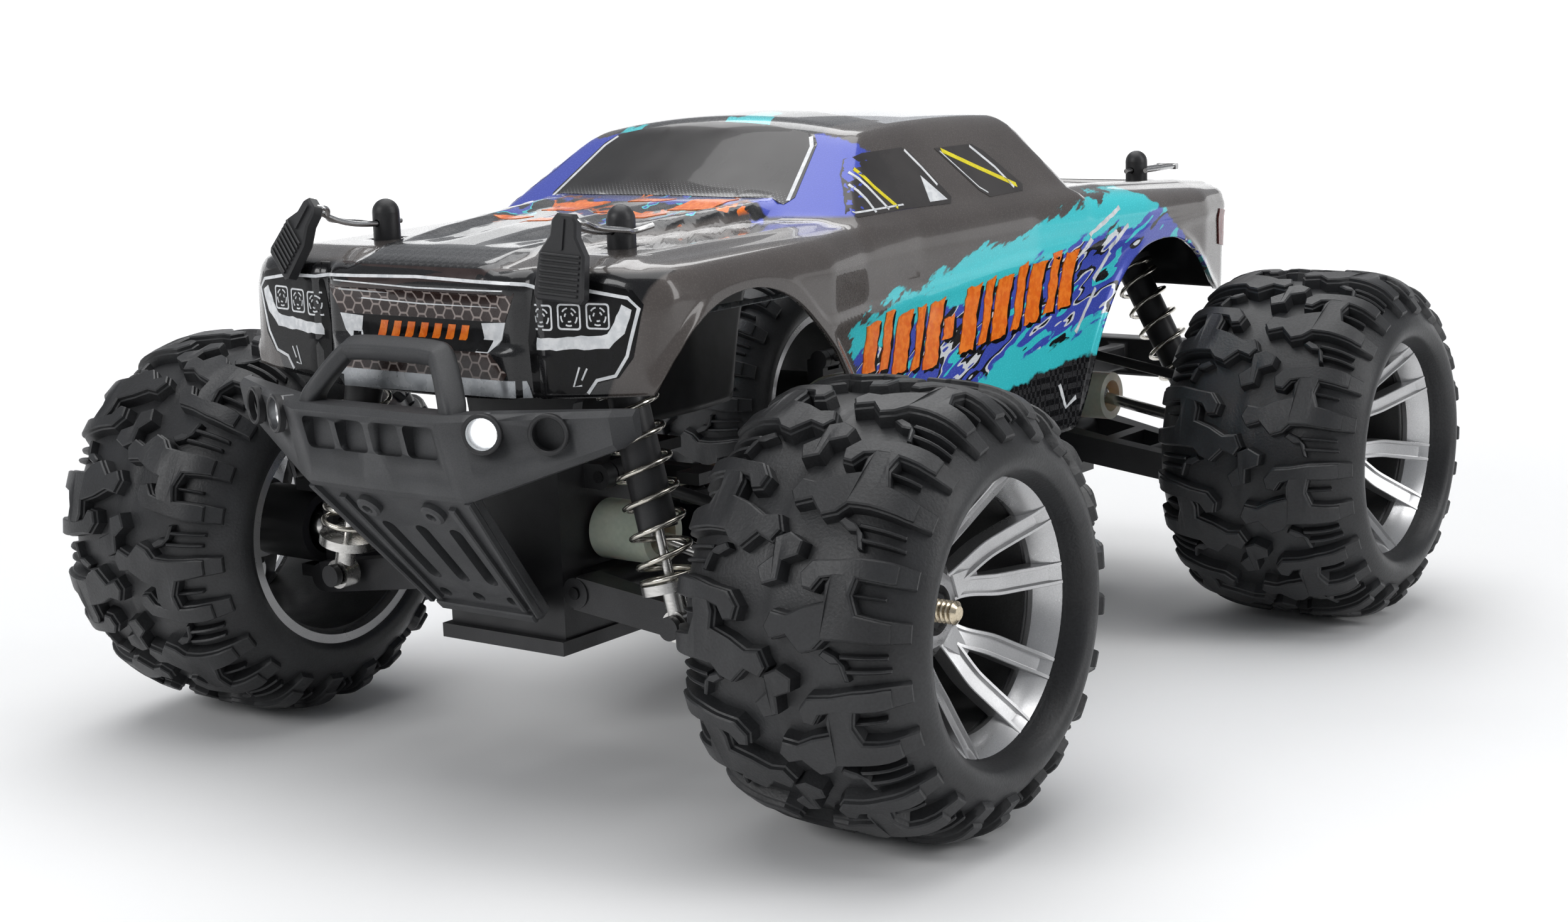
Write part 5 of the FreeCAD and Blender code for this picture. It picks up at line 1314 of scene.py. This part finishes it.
def flank_print():
    """Slanted torn orange bars along the doors, with black splinters and pale strokes."""
    bars, shadow, pale, orange = Solid(), Solid(), Solid(), Solid()
    rows = [(-57, 5.6, 80.5, 91.5), (-49.6, 3.6, 80.2, 93.2), (-44.0, 6.4, 78.8, 92.0),
            (-35.6, 3.4, 78.4, 92.6), (-30.4, 6.0, 78.0, 93.0), (-22.4, 4.4, 83.6, 88.8),
            (-15.2, 6.2, 79.4, 94.6), (-7.0, 3.6, 80.4, 95.4), (-1.4, 6.6, 80.8, 95.2),
            (7.4, 4.0, 81.8, 97.2), (13.6, 6.4, 82.4, 97.0), (22.2, 3.6, 83.8, 98.4),
            (27.8, 5.2, 84.6, 98.2)]
    for number, (y, wide, low, high) in enumerate(rows):
        lean = (high - low) * 0.22
        notch = low + (high - low) * (0.35 if number % 2 else 0.62)
        shape = [(y, low), (y + wide, low + 0.5), (y + wide + lean * 0.4, notch),
                 (y + wide + lean, high), (y + lean, high - 0.6), (y + lean * 0.5, notch - 1.0)]
        behind = [(a + 0.9, b - 0.8) for a, b in shape]
        print_patch(shadow, ragged(behind, 0.42, 140 + number), "side", flips=BOTH)
        print_patch(bars, ragged(shape, 0.32, 40 + number), "side", 0.20, flips=BOTH)
    strokes = [[(34, 95), (42, 100), (41, 101), (55, 106.5)],
               [(43, 90), (50, 96), (49, 97), (58, 102)],
               [(36, 78), (44, 88)], [(30, 66), (33, 60), (37, 62)]]
    for number, path in enumerate(strokes):
        print_patch(pale, ragged(stroke(path, 1.0), 0.14, 70 + number), "side", 0.12, flips=BOTH)
    blocks = [(-20, -70, 11, 8), (2, -78, 12, 6), (12, -66, 10, 9), (-10, -92, 9, 4),
              (-2, -62, 8, 4), (-22, -84, 6, 4)]
    for number, (x, y, wide, deep) in enumerate(blocks):
        shape = [(x, y), (x + wide, y + 1.4), (x + wide + 1.5, y + deep + 1), (x + 1.2, y + deep)]
        print_patch(orange, ragged(shape, 0.34, 90 + number), "top", 0.12)
    printed(bars, "flank_orange_bars", "orange")
    printed(shadow, "flank_black_splinters", "gloss_black")
    printed(pale, "flank_pale_strokes", "white")
    printed(orange, "bonnet_orange_blocks", "orange")


cab_glass()
nose_print()
flank_print()
tail_print()


# ---------------------------------------------------------------- springs and dampers

def damper_line(corner):
    """Head point and unit direction towards the foot, from the damper's joints, in millimetres."""
    head = Vector(JOINTS[f"shock_body_{corner}_swing"]["pos_m"]) / MM
    up = Vector(JOINTS[f"shock_shaft_{corner}_slide"]["axis"]).normalized()
    return head, -up


def springs():
    """Nickel coil on each damper, closed at both ends, riding with its damper's shaft."""
    radius, wire, steps, closed_turns, closed_length = 5.6, 0.58, 240, 1.1, 1.0
    for end, side in CORNERS:
        corner = f"{end}_{side}"
        shaft = f"shock_shaft_{corner}"
        head, down = damper_line(corner)
        low, high = (Vector(p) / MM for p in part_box("spring_" + corner))
        reach = (high.z - low.z) / abs(down.z) - 3.0
        start = (high.z - head.z) / down.z + 1.6
        place = frame_along(head + down * start, down, (0, 1, 0))
        turns = 9.4 if end == "rear" else 8.4
        dead = closed_turns / turns
        rise = [(0, 0), (dead, closed_length), (1 - dead, reach - closed_length), (1, reach)]
        path = []
        for k in range(steps + 1):
            angle = 2 * math.pi * turns * k / steps
            spot = (radius * math.cos(angle), radius * math.sin(angle), along(rise, k / steps))
            path.append(place @ Vector(spot))
        solid = Solid()
        solid.tube(path, wire)
        piece = solid.piece("coil_spring_" + corner, M["nickel"], 60)
        settle(piece, shaft, "spring_wire", "spring_" + corner)
        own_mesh(piece)


springs()


# ---------------------------------------------------------------- softened CAD pieces

def cut(piece, cutters):
    """Cut closed solids out of a piece and return the piece with its final mesh."""
    for number, cutter in enumerate(cutters):
        tool = piece.modifiers.new(f"cut{number}", "BOOLEAN")
        tool.object = cutter
        tool.solver = "EXACT"
    bpy.context.view_layer.update()
    solved = piece.evaluated_get(bpy.context.evaluated_depsgraph_get())
    mesh = bpy.data.meshes.new_from_object(solved)
    piece.modifiers.clear()
    piece.data = mesh
    for cutter in cutters:
        bpy.data.objects.remove(cutter)
    return piece


def softened(node, body, slot, finish, radius):
    """A copy of a CAD piece with its facets merged and edges rounded, standing for the node."""
    bm = bmesh.new()
    bm.from_mesh(frame["nodes"][node].data)
    bmesh.ops.remove_doubles(bm, verts=bm.verts, dist=0.002 * MM)
    bmesh.ops.dissolve_limit(bm, angle_limit=math.radians(1.5), verts=bm.verts, edges=bm.edges)
    mesh = bpy.data.meshes.new(node + "_moulded")
    bm.to_mesh(mesh)
    bm.free()
    mesh.materials.clear()
    piece = linked(node + "_moulded", mesh, finish, 35)
    soften(piece, radius)
    settle(piece, body, slot, node)


def soften(piece, radius):
    """Round the sharp edges of a piece."""
    bevel = piece.modifiers.new("edges", "BEVEL")
    bevel.width = radius * MM
    bevel.segments = 2
    bevel.limit_method = "ANGLE"
    bevel.angle_limit = math.radians(35)
    bevel.use_clamp_overlap = True


LAMP_SPOT, BLANK_SPOT = (28, -143.6), (40, -138.35)


def socket_place(side, spot):
    """Placement whose X points out of a lamp socket on one side of the bumper."""
    x, y = spot
    return frame_along((side * x, y, 80.4), (side * 0.4, -0.92, 0)) @ spun(-90, "Y")


def cutter(outline, low, high, place):
    """A slab to be cut out of another piece."""
    tool = Solid()
    tool.slab(outline, low, high, place)
    return tool.piece("cutter", M["grey"])


def bumper_section(x):
    """Cross-section of the bumper beam at x: front face leaning back, chamfered all round."""
    ax = abs(x)
    front = along([(0, -147.3), (19.8, -147.3), (50.5, -133.6), (53, -129.6)], ax)
    low_front = along([(0, -144.0), (22.0, -143.0), (50.5, -132.6), (53, -129.0)], ax)
    high = along([(0, 83.6), (19.8, 83.6), (50.5, 84.7), (53, 84.5)], ax)
    low = along([(0, 66.0), (21.5, 66.0), (24, 67.0), (50.5, 77.0), (53, 79.4)], ax)
    depth = along([(0, 7.0), (21, 7.0), (50.5, 3.4), (53, 2.0)], ax)
    return [(x, front + 1.2, high), (x, front, high - 1.2), (x, low_front, low + 1.2),
            (x, low_front + 1.2, low), (x, low_front + depth, low), (x, front + depth, high)]


def front_bumper():
    """Beam with four cells and lamp sockets, a hoop over it and a skid plate under it."""
    beam, rings = Solid(), Solid()
    outer = [19.8, 21.5, 24, 30, 37, 44, 50.5, 53]
    stations = [-x for x in outer[::-1]] + [-12, -4, 4, 12] + outer
    beam.loft([bumper_section(x) for x in stations])
    facing = Matrix(((1, 0, 0), (0, 0, -1), (0, 1, 0))).to_4x4()
    cell = rounded_box((7.8, 6.6), 1.2)
    cutters = [cutter(cell, -6.2, 4, Matrix.Translation((x, -150, 77.9)) @ facing)
               for x in (-13.8, -4.6, 4.6, 13.8)]
    for side in BOTH:
        for spot in (LAMP_SPOT, BLANK_SPOT):
            place = socket_place(side, spot)
            tool = Solid()
            tool.turned([(-3.2, AXIS), (-3.2, 3.6), (6, 3.6), (6, AXIS)], 28, place)
            cutters.append(tool.piece("cutter", M["grey"]))
            rings.turned([(-0.4, 3.1), (-0.4, 3.9), (0.9, 4.0), (1.15, 3.75), (1.15, 3.35),
                          (0.9, 3.1)], 32, place)
    piece = cut(beam.piece("bumper_beam", M["grey"], 30), cutters)
    soften(piece, 0.45)
    settle(piece, "root", "grey_plastic", "front_bumper")
    settle(rings.piece("lamp_sockets", M["black"], 40), "root", "black_plastic")
    bumper_hoop()
    skid_plate()


def bumper_hoop():
    """Rounded bar that rises from the beam and crosses over its middle."""
    right = [(0, -137.3, 94.1), (10.4, -137.6, 93.9), (13.4, -138.2, 92.6), (18.4, -141.6, 85.6),
             (19.2, -142.5, 82)]
    left = [(-x, y, z) for x, y, z in right[:0:-1]]
    path = [Vector(p) for p in curve_points(left + right, 7)]
    lean = Vector((0, 0.9, 0.42)).normalized()
    rings = []
    for i, point in enumerate(path):
        tangent = heading(path, i)
        side = (lean - tangent * lean.dot(tangent)).normalized()
        other = tangent.cross(side)
        rings.append([point + side * a + other * b for a, b in rounded_box((5.2, 3.6), 1.1)])
    hoop = Solid()
    hoop.loft(rings)
    settle(hoop.piece("bumper_hoop", M["grey"], 40), "root", "grey_plastic")


def skid_plate():
    """Sloping plate with three long slots, raised borders and screw heads."""
    down = Vector((0, 27.3, -31.0)).normalized()
    outward = Vector((0, down.z, -down.y))
    turn = Matrix((Vector((1, 0, 0)), down, outward)).transposed().to_4x4()
    place = Matrix.Translation((0, -142.0, 67.2)) @ turn
    plate, ribs = Solid(), Solid()
    right = [(22.4, 0), (21.0, 6), (15.6, 40), (13.4, 42)]
    outline = [(-22.4, 0)] + right + [(-u, v) for u, v in right[:0:-1]]
    plate.slab(outline, -2.6, 0, place, 0, 0.5)
    cutters = []
    for x, lean in ((-8.6, 1.6), (0, 0), (8.6, -1.6)):
        slot = [(u + x + lean * v / 19, v + 21.5) for u, v in rounded_box((3.4, 19), 1.65)]
        cutters.append(cutter(slot, -5, 4, place))
    for x in (-9.4, 0, 9.4):
        hole = [(x + 1.5 * math.cos(k * 0.5236),
                 36.2 + 1.5 * math.sin(k * 0.5236)) for k in range(12)]
        cutters.append(cutter(hole, -5, 4, place))
    piece = cut(plate.piece("skid_plate", M["grey"], 30), cutters)
    soften(piece, 0.3)
    settle(piece, "root", "grey_plastic")
    for side in BOTH:
        for bar, height in (([(14.2, 4), (16.0, 4), (12.6, 38), (11.2, 38)], 1.1),
                            ([(20.6, 1), (22.2, 1), (15.4, 39.4), (14.4, 39.4)], 1.3)):
            ribs.slab([(side * u, v) for u, v in bar], -0.3, height, place, 0, 0.3)
        spot = place @ Matrix.Translation((side * 8.8, 6.0, 0)) @ spun(-90, "Y")
        ribs.turned([(-0.6, 0.9), (-0.6, 2.7), (1.2, 2.7), (1.7, 2.2), (1.7, 1.2), (0.9, 0.9)], 24,
                    spot)
        ribs.turned([(-0.4, AXIS), (-0.4, 1.3), (0.7, 1.3), (0.7, AXIS)], 6, spot, 1)
    ribs.slab([(-13.6, 39.0), (13.6, 39.0), (13.2, 41.4), (-13.2, 41.4)], -0.3, 1.2, place, 0, 0.3)
    settle(ribs.piece("skid_ribs", [M["grey"], M["black_steel"]], 40), "root", "grey_plastic")


def bumper_lamps():
    """Bright bowl and small glowing dome of each lit lamp."""
    bowl, dome = Solid(), Solid()
    for side in BOTH:
        place = socket_place(side, LAMP_SPOT)
        bowl.turned([(-3.0, AXIS), (-3.0, 1.0), (-0.3, 3.3), (-0.3, 3.55), (-3.3, 3.5),
                     (-3.3, AXIS)], 32, place)
        dome.turned([(-2.9, AXIS), (-2.9, 1.3), (-1.9, 1.25), (-1.1, 0.95), (-0.7, 0.5),
                     (-0.6, AXIS)], 28, place)
    settle(bowl.piece("lamp_bowls", M["silver"], 40), "root", "lamp_lens", "bumper_lights")
    settle(dome.piece("lamp_domes", M["lamp"], 60), "root", "lamp_lens")


def front_clips():
    """Bent wire clips through the front posts, each with a ribbed pull tab over the nose."""
    wire, tab = Solid(), Solid()
    right = [(1.6, 2.2), (2.7, 0.8), (2.9, -2.0), (5.0, -5.4), (5.5, -13.4), (4.6, -14.4)]
    outline = [(-1.6, 2.2)] + right + [(-u, v) for u, v in right[:0:-1]]
    upright = Matrix(((1, 0, 0), (0, 0, 1), (0, -1, 0))).transposed().to_4x4()
    z = 115.3
    for side, spot, turn, tilt in ((1, (38.6, -129.0, 118.4), 10, 5),
                                   (-1, (-31.6, -127.6, 119.4), -20, 34)):
        x = side * 32.4
        u, v, w = spot
        loop = [(x, -101.5, z), (x, -110.5, z), (x + side * 0.8, -118, z + 1.2),
                (u - 2.2, v + 2.2, w + 0.4), (u, v - 0.4, w + 0.9), (u + 2.2, v + 2.2, w + 0.4),
                (x + side * 4.2, -118, z + 1.6), (x + side * 4.4, -110, z + 0.4),
                (x + side * 3.3, -105.8, z - 0.2), (x + side * 4.6, -101.5, z + 0.6)]
        wire.tube(curve_points(loop), 0.6)
        place = (Matrix.Translation(spot) @ spun(tilt, "Y") @ spun(turn, "Z") @ spun(-6, "X")
                 @ upright)
        tab.slab(outline, -1.3, 1.3, place, 0, 0.4)
        for rib in range(8):
            low = -13.2 + rib * 1.05
            bar = [(-4.2, low), (4.2, low), (4.2, low + 0.5), (-4.2, low + 0.5)]
            tab.slab(bar, 1.1, 1.8, place, 0, 0.12)
        tab.slab([(-0.35, 1.2), (0.35, 1.2), (0.35, -4.6), (-0.35, -4.6)], 1.1, 1.7, place)
    settle(wire.piece("front_clip_wires", M["wire"], 60), "body_clips_front", "clip_wire",
           "body_clips_front")
    settle(tab.piece("front_clip_tabs", M["black"], 40), "body_clips_front", "black_plastic")


def damper_collars():
    """Turned preload collar and cap grooves on each damper."""
    ring = [(9.0, 3.9), (9.0, 5.4), (9.4, 5.9), (10.6, 5.9), (11.0, 5.4), (11.0, 3.9)]
    for end, side in CORNERS:
        corner = f"{end}_{side}"
        head, down = damper_line(corner)
        place = frame_along(head, down, (0, 1, 0)) @ spun(-90, "Y")
        collar = Solid()
        collar.turned(ring, 36, place, 1)
        for u in (4.4, 5.9, 7.4):
            collar.turned([(u, 4.6), (u + 0.2, 5.05), (u + 0.8, 5.05), (u + 1.0, 4.6)], 36, place)
        settle(collar.piece("damper_collar_" + corner, [M["black"], M["silver"]], 40),
               "shock_body_" + corner, "black_plastic")


CAD_LOOKS = {
    "black": "chassis_plate gearbox_housings shock_towers body_posts receiver_esc body_clips_front "
             "steering_crank steering_link tie_rod c_hub knuckle rear_hub lower_arm upper_link "
             "shock_body",
    "blue": "steering_servo", "wrap": "battery_pack", "can": "drive_motor",
    "black_steel": "screws_and_pins", "wire": "body_clips_rear", "steel": "shock_shaft dogbone",
    "nylon": "centre_driveshaft front_diff rear_diff",
}


def dressed():
    """Finish every CAD piece that still shows, by the start of its name."""
    softened("rear_bumper", "root", "black_plastic", M["black"], 0.8)
    for key, starts in CAD_LOOKS.items():
        for name, node in frame["nodes"].items():
            if name.startswith(tuple(starts.split())):
                for slot in node.material_slots:
                    slot.material = M[key]


front_bumper()
bumper_lamps()
front_clips()
damper_collars()
dressed()
